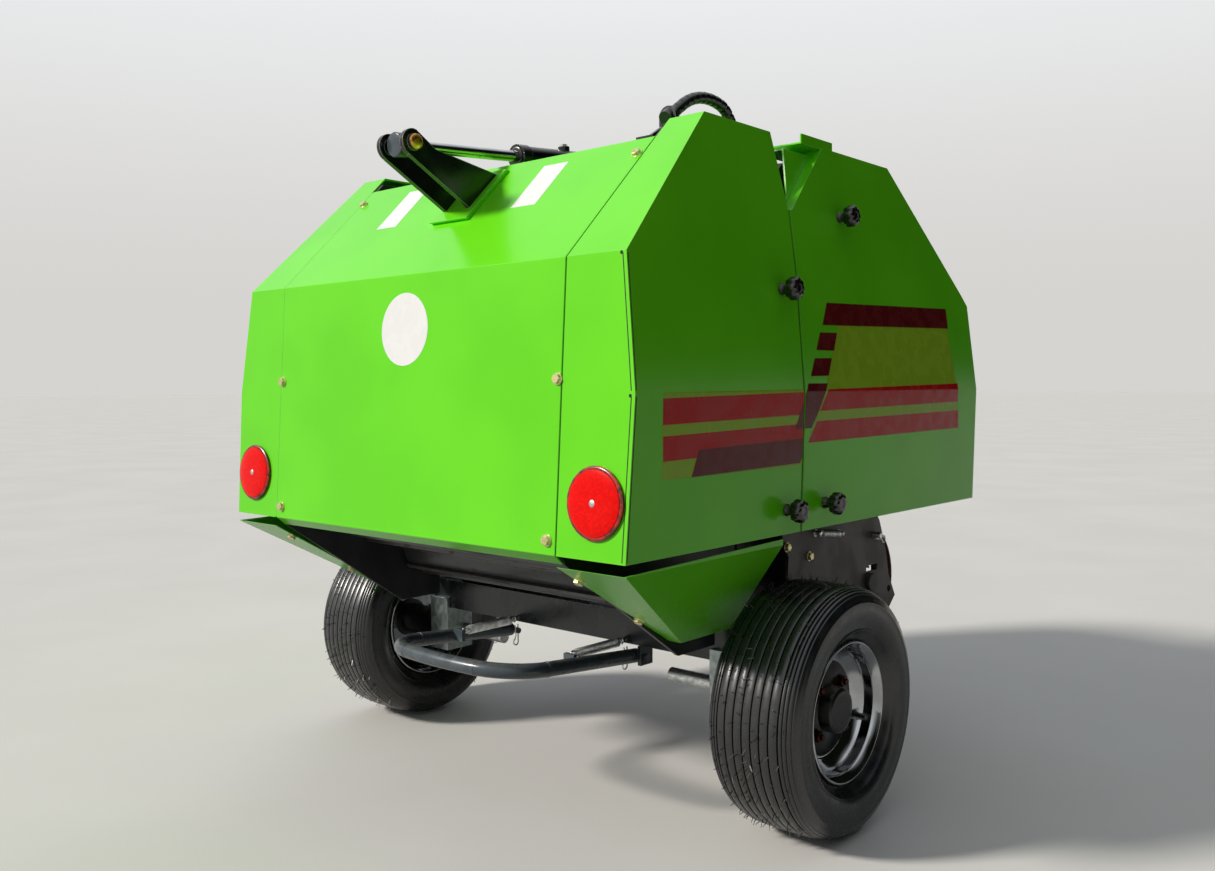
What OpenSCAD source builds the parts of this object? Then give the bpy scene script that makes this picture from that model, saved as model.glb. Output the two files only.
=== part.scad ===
// Mini round baler with a fixed roller chamber, a lifting tailgate and a tined pickup.
// Millimetres, +Z up, +Y is the direction of travel, and the ground is Z = 0.
// Lengths along the machine count forward from the foot of the rear face.
// place() then centres the machine on the origin.

/* [Bale chamber] */
// Clear width between the two chamber plates
chamber_w = 712; // [600:4:900]
// Thickness of a chamber plate
plate_t = 8; // [5:1:10]
// Height of the chamber's centre above the ground
chamber_z = 705; // [690:1:720]
// Distance of the chamber's centre from the rear face
chamber_y = 420; // [410:1:440]
// Radius of the bale that the rollers close round
bale_r = 250; // [235:1:255]
// Radius of a roller's drum
drum_r = 54; // [45:1:56]
// Height of the bars along a roller's drum
drum_bar_h = 8; // [5:1:10]
// Number of bars on a roller
drum_bars = 8; // [6:1:12]
// Width of a bar on a roller
drum_bar_w = 10; // [6:1:14]
// Radius of a roller's shaft
roller_shaft_r = 17.5; // [12:0.5:22]

/* [Shields] */
// Half width of the machine at the crease that runs along both sides
crease_x = 500; // [480:1:520]
// How far the side leans in at the foot
foot_in = 6; // [0:1:15]
// How far the side leans in at the upper fold
fold_in = 25; // [10:1:40]
// How far the side leans in at the top
top_in = 68; // [50:1:80]
// Height of the shields' lower edge
foot_z = 488; // [480:1:495]
// Height of the crease
crease_z = 719; // [700:1:740]
// Height of the rear face's upper fold
fold_z = 914; // [890:1:930]
// Height of the shields' top edge
top_z = 1150; // [1140:1:1160]
// Forward lean of the rear face from its foot to the fold
rear_lean = 27; // [10:1:40]
// Slope of the rear cover above the fold
rear_slope = 45; // [42:1:50]
// Length from the rear face's foot to the front of the shields
shield_l = 1138; // [1120:1:1160]
// Distance of the top's front fold from the rear face's foot
front_fold_y = 862; // [840:1:880]
// Height of the front face's upper fold
front_fold_z = 894; // [870:1:910]
// Sheet thickness of shields and covers
sheet_t = 3; // [2:0.5:4]
// Gap between the tailgate's shields and the front ones
split_gap = 6; // [5:0.5:10]
// Gap at the seam between the rear cover and a shield
seam_gap = 3; // [2:0.5:5]
// Depth of the front shield's recessed corner beside the hinge
recess_d = 15; // [14:1:18]

/* [Tailgate] */
// Distance of the split from the rear face's foot
split_y = 447; // [440:1:455]
// Distance of the hinge from the rear face's foot
hinge_y = 470; // [462:1:478]
// Height of the hinge
hinge_z = 1022; // [1010:1:1030]
// Widest opening angle of the tailgate
open_angle = 55; // [40:1:60]
// Radius of the tailgate's hinge pin
hinge_pin_r = 12; // [8:1:16]
// Height of the lip under the rear cover
lip_z = 473; // [465:1:480]
// Height of the rear cover's top edge
cover_top_z = 1118; // [1110:1:1130]

/* [Lifting cylinder] */
// Distance of the rod's pin from the rear face's foot
rod_pin_y = 18; // [10:1:30]
// Height of the rod's pin
rod_pin_z = 1123; // [1115:1:1130]
// Distance of the barrel's pin from the rear face's foot
barrel_pin_y = 800; // [780:1:820]
// Height of the barrel's pin
barrel_pin_z = 1188; // [1180:1:1195]
// Radius of the cylinder's pins
cyl_pin_r = 10; // [8:0.5:11]
// Radius of the rod
rod_r = 10; // [8:0.5:12]
// Outer radius of the barrel
barrel_r = 20; // [18:0.5:22]
// Length of rod that shows when the tailgate is shut
rod_show = 262; // [240:1:280]

/* [Wheels] */
// Outer radius of the tyre
tyre_r = 203; // [195:1:205]
// Width of the tyre
tyre_w = 163; // [150:1:165]
// Distance of the tyre's middle from the machine's middle
track_x = 521; // [519:1:530]
// Distance of the axle from the rear face's foot
axle_y = 447; // [440:1:455]
// Radius of the rim's flange
rim_r = 115; // [110:1:118]
// Radius of the axle stub
stub_r = 12.5; // [10:0.5:16]
// Radius of the wheel's hub
hub_r = 42; // [35:1:50]

/* [Pickup] */
// Distance of the reel's axis from the rear face's foot
reel_y = 830; // [825:1:840]
// Height of the reel's axis
reel_z = 342; // [335:1:350]
// Radius that the tine tips run at
tine_r = 142; // [135:1:148]
// Distance between neighbouring tines
tine_pitch = 62; // [56:1:62]
// Tines along one bar
tine_count = 12; // [8:1:12]
// Tine bars round the reel
tine_bars = 4; // [3:1:5]

/* [Kicker] */
// Half width of the kicker over its tube
kicker_x = 180; // [160:1:200]
// Radius of the kicker's tube
kicker_r = 13; // [12:0.5:15]
// Distance of the kicker's pivot from the rear face's foot
kicker_y = 412; // [408:1:416]
// Height of the kicker's pivot
kicker_z = 235; // [230:1:238]
// Distance of the kicker's rear bend from the rear face's foot
kicker_rear_y = 83; // [75:1:95]
// Rise of the kicker towards its rear, in degrees
kicker_rise = 5; // [3:0.5:7]

/* [Hitch and stand] */
// Distance of the lower hitch pins from the rear face's foot
hitch_y = 1240; // [1220:1:1260]
// Height of the lower hitch pins
hitch_z = 480; // [470:1:500]
// Height of the top link's bore above the lower pins
mast_h = 460; // [440:1:480]
// Radius of the lower hitch pins
hitch_pin_r = 11; // [9:0.5:14]
// Radius of the top link's bore
mast_bore_r = 9.7; // [9:0.1:13]
// Distance of the stand from the machine's middle
stand_x = 210; // [190:1:230]
// Width of the stand's square leg
stand_w = 45; // [38:1:50]
// Lift of the stand
stand_lift = 260; // [200:1:280]

/* [Hose] */
// Distance of the hose inwards from the chamber's side
hose_in = 22; // [20:1:28]
// Outer radius of the hose
hose_r = 10; // [8:0.5:11]

/* [Hidden] */
$fn = 64;

green = [0.42, 0.85, 0.18];
frame_grey = [0.2, 0.21, 0.22];
black = [0.09, 0.09, 0.1];
zinc = [0.75, 0.75, 0.72];
rubber = [0.12, 0.12, 0.12];
chrome = [0.85, 0.86, 0.88];

// A seat between two pieces, a running fit and a gap between moving pieces
seat = 0.3;
run_fit = 0.05;
clear = 5;
// Overlap that makes a cut run out of a face
cut = 1;

side_x = chamber_w / 2 + plate_t;
// Rear edge of the front hood, clear of the lifted tailgate's first roller, and its height
hood_rear = 452;
hood_z = 1132;
// Square tube of the front frame, and the outer half width over it
tube_w = 50;
pickup_x = side_x + tube_w + 2;
hitch_pin_l = 60;
hitch_lug_x = 300;
hitch_lug_t = 12;
hitch_tip = 20;

module place() {
    translate([0, -middle_y, 0]) children();
}

// Extrudes an outline drawn in (y, z) from x0 to x1
module along_x(x0, x1) {
    translate([x0, 0, 0]) rotate([90, 0, 90]) linear_extrude(x1 - x0) children();
}

// Extrudes an outline drawn in (x, z) from y0 to y1
module along_y(y0, y1) {
    translate([0, y1, 0]) rotate([90, 0, 0]) linear_extrude(y1 - y0) children();
}

// A round bar along X
module bar_x(x0, x1, y, z, r) {
    translate([x0, y, z]) rotate([0, 90, 0]) cylinder(h = x1 - x0, r = r);
}

// A block between two corners
module block(a, b) {
    translate(a) cube(b - a);
}

// Mirrors a right-hand piece to the left when side is -1
module on_side(side) {
    mirror([side < 0 ? 1 : 0, 0, 0]) children();
}

// Both the piece and its mirror image
module both_sides() {
    for (side = [-1, 1]) on_side(side) children();
}

// Rear face and slope: distance forward at a height
function rear_y(z) = rear_lean * (z - foot_z) / (fold_z - foot_z);
function slope_y(z) = rear_lean + (z - fold_z) / tan(rear_slope);
// Front slope's height at a distance forward
front_drop = (top_z - front_fold_z) / (shield_l - front_fold_y);
function front_z(y) = top_z - (y - front_fold_y) * front_drop;

// Half cross section of the shields in (x, z), inset by t, with its foot at low
module shield_section(t, low) {
    polygon([[0, low], [crease_x - foot_in - t, low], [crease_x - foot_in - t, foot_z],
        [crease_x - t, crease_z], [crease_x - fold_in - t, fold_z],
        [crease_x - top_in - t, top_z - t], [0, top_z - t]]);
}

// Side outline of the rear shields in (y, z), inset by t, with the edge at the split last
module rear_outline(t, low, edge) {
    polygon(concat([[t, low], [t, foot_z], [rear_lean + t, fold_z - t / 2],
        [slope_y(top_z) + t / 2, top_z - t]], edge));
}

// Side outline of the front shields in (y, z), inset by t, with the edge at the split last
module front_outline(t, low, edge) {
    polygon(concat([[shield_l - t, low], [shield_l - t, front_fold_z - t / 2],
        [front_fold_y - t / 2, top_z - t]], edge));
}

seam_x = side_x + seat;
split_rear = split_y - split_gap / 2;
split_front = split_y + split_gap / 2;

/* Front shield's recess: the tailgate's upper front edge swings over it */
recess_lean = 47;
recess_y = hinge_y + 8;
recess_z = hinge_z;
// Where the lifted tailgate's top flange comes down to the recessed corner's top
rear_flange_end = hinge_y - (top_z - recess_d + clear - hinge_z
    - (top_z - sheet_t - hinge_z) * cos(open_angle)) / sin(open_angle);

/* The split leans forward above the crease, and opens into a wedge above the hinge */
edge_lean = 22;
// The rear shields' edge leans back above the hinge so that it swings clear of the recess
edge_spare = 3.5;
edge_back = (top_z - hinge_z) * tan(open_angle + recess_lean - 90 - edge_spare);
rear_edge = [[split_rear + edge_lean - edge_back, top_z], [split_rear + edge_lean, hinge_z],
    [split_rear, crease_z], [split_rear, foot_z]];
wedge_gap_y = 44;
wedge_gap_z = 27;
front_edge = [[hinge_y + wedge_gap_y, top_z], [hinge_y + wedge_gap_z, hinge_z + wedge_gap_z],
    [split_front + edge_lean, hinge_z], [split_front, crease_z], [split_front, foot_z]];
// The roof over the recess starts where the lifted shield's top edge stays clear of it
roof_h = 14;
roof_rear = hinge_y + (clear + (top_z - hinge_z)
    - (top_z - sheet_t - hinge_z) * cos(open_angle)) / sin(open_angle);
roof_lap = 35;
roof_front = recess_y + (top_z - recess_z) * tan(recess_lean) + roof_lap;
module recess_corner(grow) {
    reach = 400;
    translate([recess_y + grow, recess_z - grow])
        polygon([[-reach, 0], [0, 0], [reach * tan(recess_lean), reach], [-reach, reach]]);
}

module shield_stud_holes(spots) {
    for (p = spots) bar_x(side_x - cut, crease_x + cut, p[0], p[1], knob_stud_r + seat);
}

module rear_shield(side) {
    color(green) place() on_side(side) difference() {
        intersection() {
            along_x(seam_x, crease_x) rear_outline(0, foot_z, rear_edge);
            along_y(-cut, hinge_y) shield_section(0, foot_z);
        }
        intersection() {
            along_x(seam_x - cut, crease_x) rear_outline(sheet_t, foot_z - cut,
                [[hinge_y, top_z - sheet_t], [hinge_y, foot_z - cut]]);
            along_y(-cut, hinge_y) shield_section(sheet_t, foot_z - cut);
        }
        // The top flange stops where it would swing into the front shield
        block([seam_x - cut, rear_flange_end, top_z - sheet_t - cut],
            [crease_x - top_in - sheet_t, hinge_y, top_z + cut]);
        shield_stud_holes(rear_knob_spots);
    }
}

module rear_shield_left() { rear_shield(-1); }
module rear_shield_right() { rear_shield(1); }

module front_shield(side) {
    color(green) place() on_side(side) difference() {
        intersection() {
            along_x(seam_x, crease_x) front_outline(0, foot_z, front_edge);
            union() {
                difference() {
                    along_y(split_front, shield_l) shield_section(0, foot_z);
                    along_x(0, crease_x + cut) recess_corner(0);
                }
                along_y(split_front, shield_l) shield_section(recess_d, foot_z);
            }
        }
        intersection() {
            along_x(seam_x - cut, crease_x) front_outline(sheet_t, foot_z - cut,
                [[split_front - cut, top_z - sheet_t], [split_front - cut, foot_z - cut]]);
            union() {
                difference() {
                    along_y(split_front - cut, shield_l) shield_section(sheet_t, foot_z - cut);
                    along_x(0, crease_x + cut) recess_corner(sheet_t);
                }
                along_y(split_front - cut, shield_l)
                    shield_section(recess_d + sheet_t, foot_z - cut);
            }
        }
        shield_stud_holes(front_knob_spots);
    }
    // Roof over the recess, with its upstanding lip
    color(green) place() on_side(side) {
        roof_x = crease_x - top_in;
        block([seam_x, roof_rear, top_z - sheet_t], [roof_x, roof_front, top_z]);
        block([roof_x - sheet_t, roof_rear, top_z - sheet_t],
            [roof_x, roof_front, top_z + roof_h]);
    }
}

module front_shield_left() { front_shield(-1); }
module front_shield_right() { front_shield(1); }

/* Knobs that hold the shields: distance forward, height, half width where the stud ends */
rear_knob_spots = [[407, 884, side_x], [398, 528, side_x]];
front_knob_spots = [[635, 1027, side_x], [519, 530, pickup_x]];
knob_stud_r = 4;
knob_r = 19;
knob_l = 34;

// Half width of the shields' outside at a height
function shield_x(z) = crease_x - (z < crease_z
    ? foot_in * (crease_z - z) / (crease_z - foot_z)
    : z < fold_z ? fold_in * (z - crease_z) / (fold_z - crease_z)
    : fold_in + (top_in - fold_in) * (z - fold_z) / (top_z - fold_z));

module knob(p) {
    face = shield_x(p[1]) + 2;
    bar_x(p[2] + seat, face + cut, p[0], p[1], knob_stud_r);
    bar_x(face, face + knob_l * 0.4, p[0], p[1], knob_r * 0.5);
    bar_x(face + knob_l * 0.4, face + knob_l, p[0], p[1], knob_r);
}

module rear_knobs() {
    color(black) place() both_sides() for (p = rear_knob_spots) knob(p);
}

module front_knobs() {
    color(black) place() both_sides() for (p = front_knob_spots) knob(p);
}

/* Rear cover: the green panel between the seams, with its lip and its top */
cover_x = side_x - seam_gap + seat;
lip_y = 18;
// The lifted cover's front edge stays clear of the hood's plane
cover_front_y = hinge_y - (hood_z + clear - hinge_z
    - (cover_top_z - sheet_t - hinge_z) * cos(open_angle)) / sin(open_angle);

module rear_cover() {
    t = sheet_t;
    color(green) place() {
        along_x(-cover_x, cover_x) polygon([
            [0, foot_z], [rear_lean, fold_z], [slope_y(cover_top_z), cover_top_z],
            [slope_y(cover_top_z) + t * 1.4, cover_top_z],
            [rear_lean + t, fold_z - t / 2], [t, foot_z + t], [lip_y, lip_z + t],
            [lip_y, lip_z]]);
        along_x(-chamber_w / 2 + seat, chamber_w / 2 - seat) polygon([
            [slope_y(cover_top_z) + t * 1.4, cover_top_z - t],
            [slope_y(cover_top_z) + t * 1.4, cover_top_z],
            [cover_front_y, cover_top_z], [cover_front_y, cover_top_z - t]]);
        along_x(-chamber_w / 2 + seat, chamber_w / 2 - seat) polygon([
            [slope_y(cover_top_z), cover_top_z - t], [slope_y(cover_top_z), cover_top_z],
            [slope_y(cover_top_z) + t * 2, cover_top_z],
            [slope_y(cover_top_z) + t * 2, cover_top_z - t]]);
    }
}

/* Chamber plates */
plate_low = 290;
plate_low_y = 285;
plate_top_z = 1135;
plate_sweep_r = chamber_z - 276;
beam_y = 405;
beam_w = 60;
beam_z = 256;

module tailgate_plate_outline() {
    b = sheet_t + seat;
    polygon([[b, foot_z + b + seat], [lip_y + seat, lip_z + b + seat], [lip_y + seat, lip_z],
        [plate_low_y, plate_low], [beam_y - 20, plate_low],
        [beam_y - 20, beam_z + beam_w + 20], [split_rear, beam_z + beam_w + 30],
        [split_rear, plate_top_z], [slope_y(plate_top_z) + b * 1.3, plate_top_z],
        [rear_lean + b, fold_z - b / 2]]);
}

lug_t = 8;
lug_r = 30;
lug_x = side_x + clear;

module tailgate_side(side) {
    color(frame_grey) place() on_side(side) difference() {
        union() {
            along_x(side_x - plate_t, side_x) tailgate_plate_outline();
            // Hinge lug, outside the front plate
            along_x(lug_x, lug_x + lug_t) {
                difference() {
                    union() {
                        translate([hinge_y, hinge_z]) circle(r = lug_r);
                        polygon([[hinge_y, hinge_z + lug_r], [split_rear - 90, hinge_z + lug_r],
                            [split_rear - 90, hinge_z - lug_r], [hinge_y, hinge_z - lug_r]]);
                    }
                    translate([hinge_y, hinge_z]) circle(r = hinge_pin_r + run_fit);
                }
            }
            // Spacer between the plate and the lug, clear of the nearest roller's shaft
            block([side_x - cut, split_rear - 78, hinge_z - lug_r],
                [lug_x + cut, split_rear - 30, hinge_z + lug_r]);
        }
        for (a = tailgate_roller_angles) {
            bar_x(side_x - plate_t - cut, side_x + cut, roller_y(a), roller_z(a),
                roller_shaft_r + run_fit);
        }
    }
}

module tailgate_side_left() { tailgate_side(-1); }
module tailgate_side_right() { tailgate_side(1); }

front_plate_end = 1060;
front_plate_foot = 490;
module front_plate_outline() {
    difference() {
        polygon(concat(
            [[split_front, hinge_z], [split_front, beam_z + beam_w + seat],
                [beam_y + beam_w, beam_z + beam_w + seat], [beam_y + beam_w + 6, 296]],
            [for (a = [-78 : 6 : -30]) [chamber_y + plate_sweep_r * cos(a),
                chamber_z + plate_sweep_r * sin(a)]],
            [[front_plate_end, front_plate_foot],
                [front_plate_end, front_z(front_plate_end) - 20],
                [front_fold_y - 8, top_z - 20], [split_front, top_z - 20]]));
        recess_corner(0);
    }
    // Round the plate under the hinge pin
    translate([hinge_y, hinge_z]) circle(r = hinge_pin_r + 8);
}

module chamber_side(side) {
    color(frame_grey) place() on_side(side) {
        difference() {
            along_x(side_x - plate_t, side_x) front_plate_outline();
            for (a = front_roller_angles) {
                bar_x(side_x - plate_t - cut, side_x + cut, roller_y(a), roller_z(a),
                    roller_shaft_r + run_fit);
            }
        }
        // Hinge pin with its head
        bar_x(side_x - cut, lug_x + lug_t + 3, hinge_y, hinge_z, hinge_pin_r);
        bar_x(lug_x + lug_t + 2, lug_x + lug_t + 8, hinge_y, hinge_z, hinge_pin_r + 6);
    }
}

module chamber_side_left() { chamber_side(-1); }
module chamber_side_right() { chamber_side(1); }

/* Rollers, at angles round the chamber from the front over the top */
front_roller_angles = [-75, -15, 15, 45, 75];
tailgate_roller_angles = [105, 135, 165, 195, 225, 255];
roller_ring_r = bale_r + drum_r + drum_bar_h;
function roller_y(a) = chamber_y + roller_ring_r * cos(a);
function roller_z(a) = chamber_z + roller_ring_r * sin(a);
drum_x = chamber_w / 2 - 6;
drum_wall = 4;
drum_end_t = 8;
drum_hole_r = 9;

// A ribbed drum with pierced end discs and a stub shaft at each end
module roller(a) {
    translate([0, roller_y(a), roller_z(a)]) rotate([0, 90, 0]) {
        linear_extrude(2 * drum_x, center = true) difference() {
            union() {
                circle(r = drum_r);
                for (i = [0 : drum_bars - 1]) {
                    rotate(360 * i / drum_bars)
                        translate([drum_r - cut, -drum_bar_w / 2])
                            square([drum_bar_h + cut, drum_bar_w]);
                }
            }
            circle(r = drum_r - drum_wall);
        }
        for (end = [-1, 1]) translate([0, 0, end * drum_x]) mirror([0, 0, end > 0 ? 1 : 0]) {
            difference() {
                cylinder(h = drum_end_t, r = drum_r - drum_wall + cut / 2);
                for (q = [0 : 90 : 270]) rotate(q) translate([(drum_r + roller_shaft_r) / 2, 0, -cut])
                    cylinder(h = drum_end_t + 2 * cut, r = drum_hole_r);
            }
            translate([0, 0, drum_x - side_x - clear])
                cylinder(h = side_x + clear - drum_x + 40, r = roller_shaft_r);
        }
    }
}

module front_rollers() {
    color(frame_grey) place() for (a = front_roller_angles) roller(a);
}

module tailgate_rollers() {
    color(frame_grey) place() for (a = tailgate_roller_angles) roller(a);
}

/* Lower wedges: the green corner panels under the rear shields */
wedge_top = 472;
wedge_low = 320;
wedge_low_y = 258;
wedge_front = 393;
wedge_low_x = 390;
module wedge_body(t, top) {
    intersection() {
        along_x(seam_x, crease_x) polygon([[t, wedge_top], [t, top], [wedge_front + t, top],
            [wedge_front + t, wedge_low + t], [wedge_low_y + t, wedge_low + t]]);
        along_y(-cut, wedge_front + t) polygon([[0, top], [crease_x - foot_in - t, top],
            [crease_x - foot_in - t, wedge_top], [wedge_low_x - t, wedge_low + t],
            [0, wedge_low + t]]);
    }
}

module lower_wedge(side) {
    color(green) place() on_side(side) difference() {
        wedge_body(0, wedge_top);
        translate([-cut, 0, 0]) wedge_body(sheet_t, wedge_top + cut);
        tyre_room();
    }
}

// The space that the turning tyre needs, with its rounded inner shoulder
module tyre_room() {
    r = tyre_r + clear;
    w = tyre_w / 2 + clear;
    translate([track_x, axle_y, axle_z]) rotate([0, 90, 0]) rotate_extrude()
        polygon([[0, -w], [r - 45, -w], [r - 14, -w + 5], [r, -w + 30], [r, 0], [0, 0]]);
}

module lower_wedge_left() { lower_wedge(-1); }
module lower_wedge_right() { lower_wedge(1); }

/* Front hood between the chamber plates, narrower where the tailgate's plates swing past */
hood_wide_y = 600;
hood_front = 1120;
hood_fold_y = front_fold_y - 8;
hood_skirt = 40;
module front_hood() {
    t = sheet_t;
    x = chamber_w / 2 - seat;
    end_z = hood_z - (hood_front - hood_fold_y) * front_drop;
    color(green) place() {
        along_x(-x, x) polygon([
            [hood_wide_y, hood_z], [hood_fold_y, hood_z], [hood_front, end_z],
            [hood_front, end_z - hood_skirt], [hood_front - t, end_z - hood_skirt],
            [hood_front - t, end_z - t / 2], [hood_fold_y - t / 2, hood_z - t],
            [hood_wide_y, hood_z - t]]);
        block([-x + clear, hood_rear, hood_z - t], [x - clear, hood_wide_y + cut, hood_z]);
    }
}

/* Axle beam, legs and stubs */
leg_x0 = 345;
leg_w = 54;
leg_low = 165;
axle_z = tyre_r;
module axle_beam() {
    color(frame_grey) place() difference() {
        block([-leg_x0 - leg_w, beam_y, beam_z], [leg_x0 + leg_w, beam_y + beam_w,
            beam_z + beam_w]);
        block([-leg_x0 - leg_w - cut, beam_y + 5, beam_z + 5],
            [leg_x0 + leg_w + cut, beam_y + beam_w - 5, beam_z + beam_w - 5]);
    }
    color(frame_grey) place() both_sides() {
        // Kicker's pivot ears
        difference() {
            block([kicker_x + 2, kicker_y - 14, kicker_z - 14],
                [kicker_x + 2 + kicker_ear_t, kicker_y + 20, beam_z + cut]);
            bar_x(0, 2 * kicker_x, kicker_y, kicker_z, kicker_pin_r + run_fit);
        }
    }
}
kicker_pin_r = 6;
kicker_ear_t = 8;

module wheel_legs() {
    color(zinc) place() both_sides() difference() {
        union() {
            block([leg_x0, beam_y - 10, leg_low], [leg_x0 + leg_w, beam_y - seat, beam_z + 22]);
            block([leg_x0, beam_y - 10, leg_low], [leg_x0 + leg_w, beam_y + beam_w,
                beam_z - seat]);
        }
        bar_x(leg_x0 - cut, leg_x0 + leg_w + cut, axle_y, axle_z, stub_r + run_fit);
    }
}

stub_in_x = 222;
module axle_stubs() {
    color(zinc) place() both_sides() {
        bar_x(stub_in_x, track_x + 20, axle_y, axle_z, stub_r);
        bar_x(leg_x0 + leg_w + seat, leg_x0 + leg_w + 8, axle_y, axle_z, stub_r + 8);
    }
}

/* Wheels, as half sections in (radius, distance outwards) */
module tyre_section() {
    w = tyre_w / 2;
    wall = 9;
    polygon([[rim_r - 12 + seat, -w + 30], [rim_r + seat, -w + 22], [rim_r + 26, -w + 4],
        [tyre_r - 45, -w], [tyre_r - 14, -w + 5], [tyre_r - 2, -w + 18], [tyre_r, -w + 30],
        [tyre_r, w - 30], [tyre_r - 2, w - 18], [tyre_r - 14, w - 5], [tyre_r - 45, w],
        [rim_r + 26, w - 4], [rim_r + seat, w - 22], [rim_r - 12 + seat, w - 30],
        [rim_r - 12 + seat, w - 42], [rim_r + 26, w - 4 - wall - 4], [tyre_r - 45, w - wall],
        [tyre_r - 20, w - 16], [tyre_r - 16, w - 30], [tyre_r - 16, -w + 30],
        [tyre_r - 20, -w + 16], [tyre_r - 45, -w + wall], [rim_r + 26, -w + 4 + wall + 4],
        [rim_r - 12 + seat, -w + 42]]);
}

module rim_section() {
    w = tyre_w / 2;
    // Two flanges, the bead seats, the drop centre and the disc
    polygon([[rim_r, -w + 17], [rim_r, -w + 21], [rim_r - 12, -w + 29], [rim_r - 12, -w + 46],
        [rim_r - 30, -w + 58], [rim_r - 30, w - 70], [rim_r - 12, w - 46], [rim_r - 12, w - 29],
        [rim_r, w - 21], [rim_r, w - 17], [rim_r - 15, w - 26], [rim_r - 15, w - 45],
        [rim_r - 33, w - 66], [hub_bolt_r + 16, w - 62], [hub_r * 0.6, w - 62],
        [hub_r * 0.6, w - 66], [hub_bolt_r + 14, w - 66], [rim_r - 33, w - 71],
        [rim_r - 33, -w + 60], [rim_r - 15, -w + 48], [rim_r - 15, -w + 26]]);
}
hub_bolt_r = 33;

module wheel_at(side) {
    on_side(side) translate([track_x, axle_y, axle_z]) rotate([0, 90, 0])
        rotate_extrude($fn = 96) children();
}

module tyre_left() { color(rubber) place() wheel_at(-1) tyre_section(); }
module tyre_right() { color(rubber) place() wheel_at(1) tyre_section(); }
module rim_left() { color(chrome) place() wheel_at(-1) rim_section(); }
module rim_right() { color(chrome) place() wheel_at(1) rim_section(); }

module hub_section() {
    w = tyre_w / 2;
    in_x = leg_x0 + leg_w + 8 + clear - track_x;
    polygon([[stub_r + run_fit, in_x], [hub_r - 10, in_x], [hub_r - 10, w - 70],
        [hub_r, w - 70], [hub_r, w - 66 - seat], [hub_r * 0.6 - seat, w - 66 - seat],
        [hub_r * 0.6 - seat, w - 30], [0, w - 30], [0, 21], [stub_r + run_fit, 21]]);
}

module hub_left() { color(black) place() wheel_at(-1) hub_section(); }
module hub_right() { color(black) place() wheel_at(1) hub_section(); }

/* Kicker: a round-cornered U of tube on two pins under the axle beam */
kicker_bend_r = 90;
kicker_bow_r = 600;
kicker_tube_x = kicker_x - kicker_r;
// Reach of the pivot pin past the tube and the beam's ear
pin_in = 12;
pin_out = 8;
// Eye that the spring hooks into
hook_eye_t = 8;
hook_eye_low = 6;
hook_eye_top = 4;
// Angle that the bowed rear bar takes on each side, and the length of a straight arm
kicker_bow = asin((kicker_tube_x - kicker_bend_r) / (kicker_bow_r - kicker_bend_r));
kicker_arm_l = (kicker_y - kicker_rear_y) / cos(kicker_rise) - kicker_bow_r
    + (kicker_bow_r - kicker_bend_r) * cos(kicker_bow);
// Height of the tube's middle at a distance forward
function kicker_tube_z(y) = kicker_z + (kicker_y - y) * tan(kicker_rise);
// Flush weld where two stretches of tube meet, along X
module weld_ring() {
    bar_x(-weld_w / 2, weld_w / 2, 0, 0, kicker_r + weld_rise);
}
weld_w = 5;
weld_rise = 0.5;
module kicker() {
    color(frame_grey) place() {
        translate([0, kicker_y, kicker_z]) rotate([-kicker_rise, 0, 0]) {
            both_sides() {
                translate([kicker_tube_x, -kicker_arm_l, 0]) rotate([-90, 0, 0])
                    cylinder(h = kicker_arm_l, r = kicker_r);
                translate([kicker_tube_x, -kicker_arm_l, 0]) rotate([0, 0, 90]) weld_ring();
                translate([kicker_tube_x - kicker_bend_r, -kicker_arm_l, 0])
                    rotate([0, 0, kicker_bow - 90]) rotate_extrude(angle = 90 - kicker_bow)
                        translate([kicker_bend_r, 0]) circle(r = kicker_r);
            }
            translate([0, kicker_bow_r - (kicker_y - kicker_rear_y) / cos(kicker_rise), 0]) {
                rotate([0, 0, -90 - kicker_bow]) rotate_extrude(angle = 2 * kicker_bow)
                    translate([kicker_bow_r, 0]) circle(r = kicker_r);
                both_sides() rotate([0, 0, kicker_bow]) translate([0, -kicker_bow_r, 0])
                    weld_ring();
            }
        }
        both_sides() {
            // Pivot pin, through the tube and the beam's ear
            bar_x(kicker_tube_x - kicker_r - pin_in, kicker_x + kicker_ear_t + pin_out,
                kicker_y, kicker_z, kicker_pin_r);
            // Eye that the spring hooks into
            block([spring_x - spring_r, spring_rear_y - hook_eye_t - seat,
                kicker_tube_z(spring_rear_y) - hook_eye_low], [kicker_tube_x - kicker_r + 4,
                spring_rear_y - seat, spring_z + hook_eye_top]);
        }
    }
}

spring_r = 9;
spring_x = kicker_tube_x - kicker_r - spring_r - 2;
spring_z = beam_z + 4;
spring_rear_y = 262;
module kicker_springs() {
    color(zinc) place() both_sides() {
        translate([spring_x, spring_rear_y, spring_z]) rotate([-90, 0, 0])
            cylinder(h = beam_y - seat - spring_rear_y, r = spring_r);
    }
}

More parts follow.
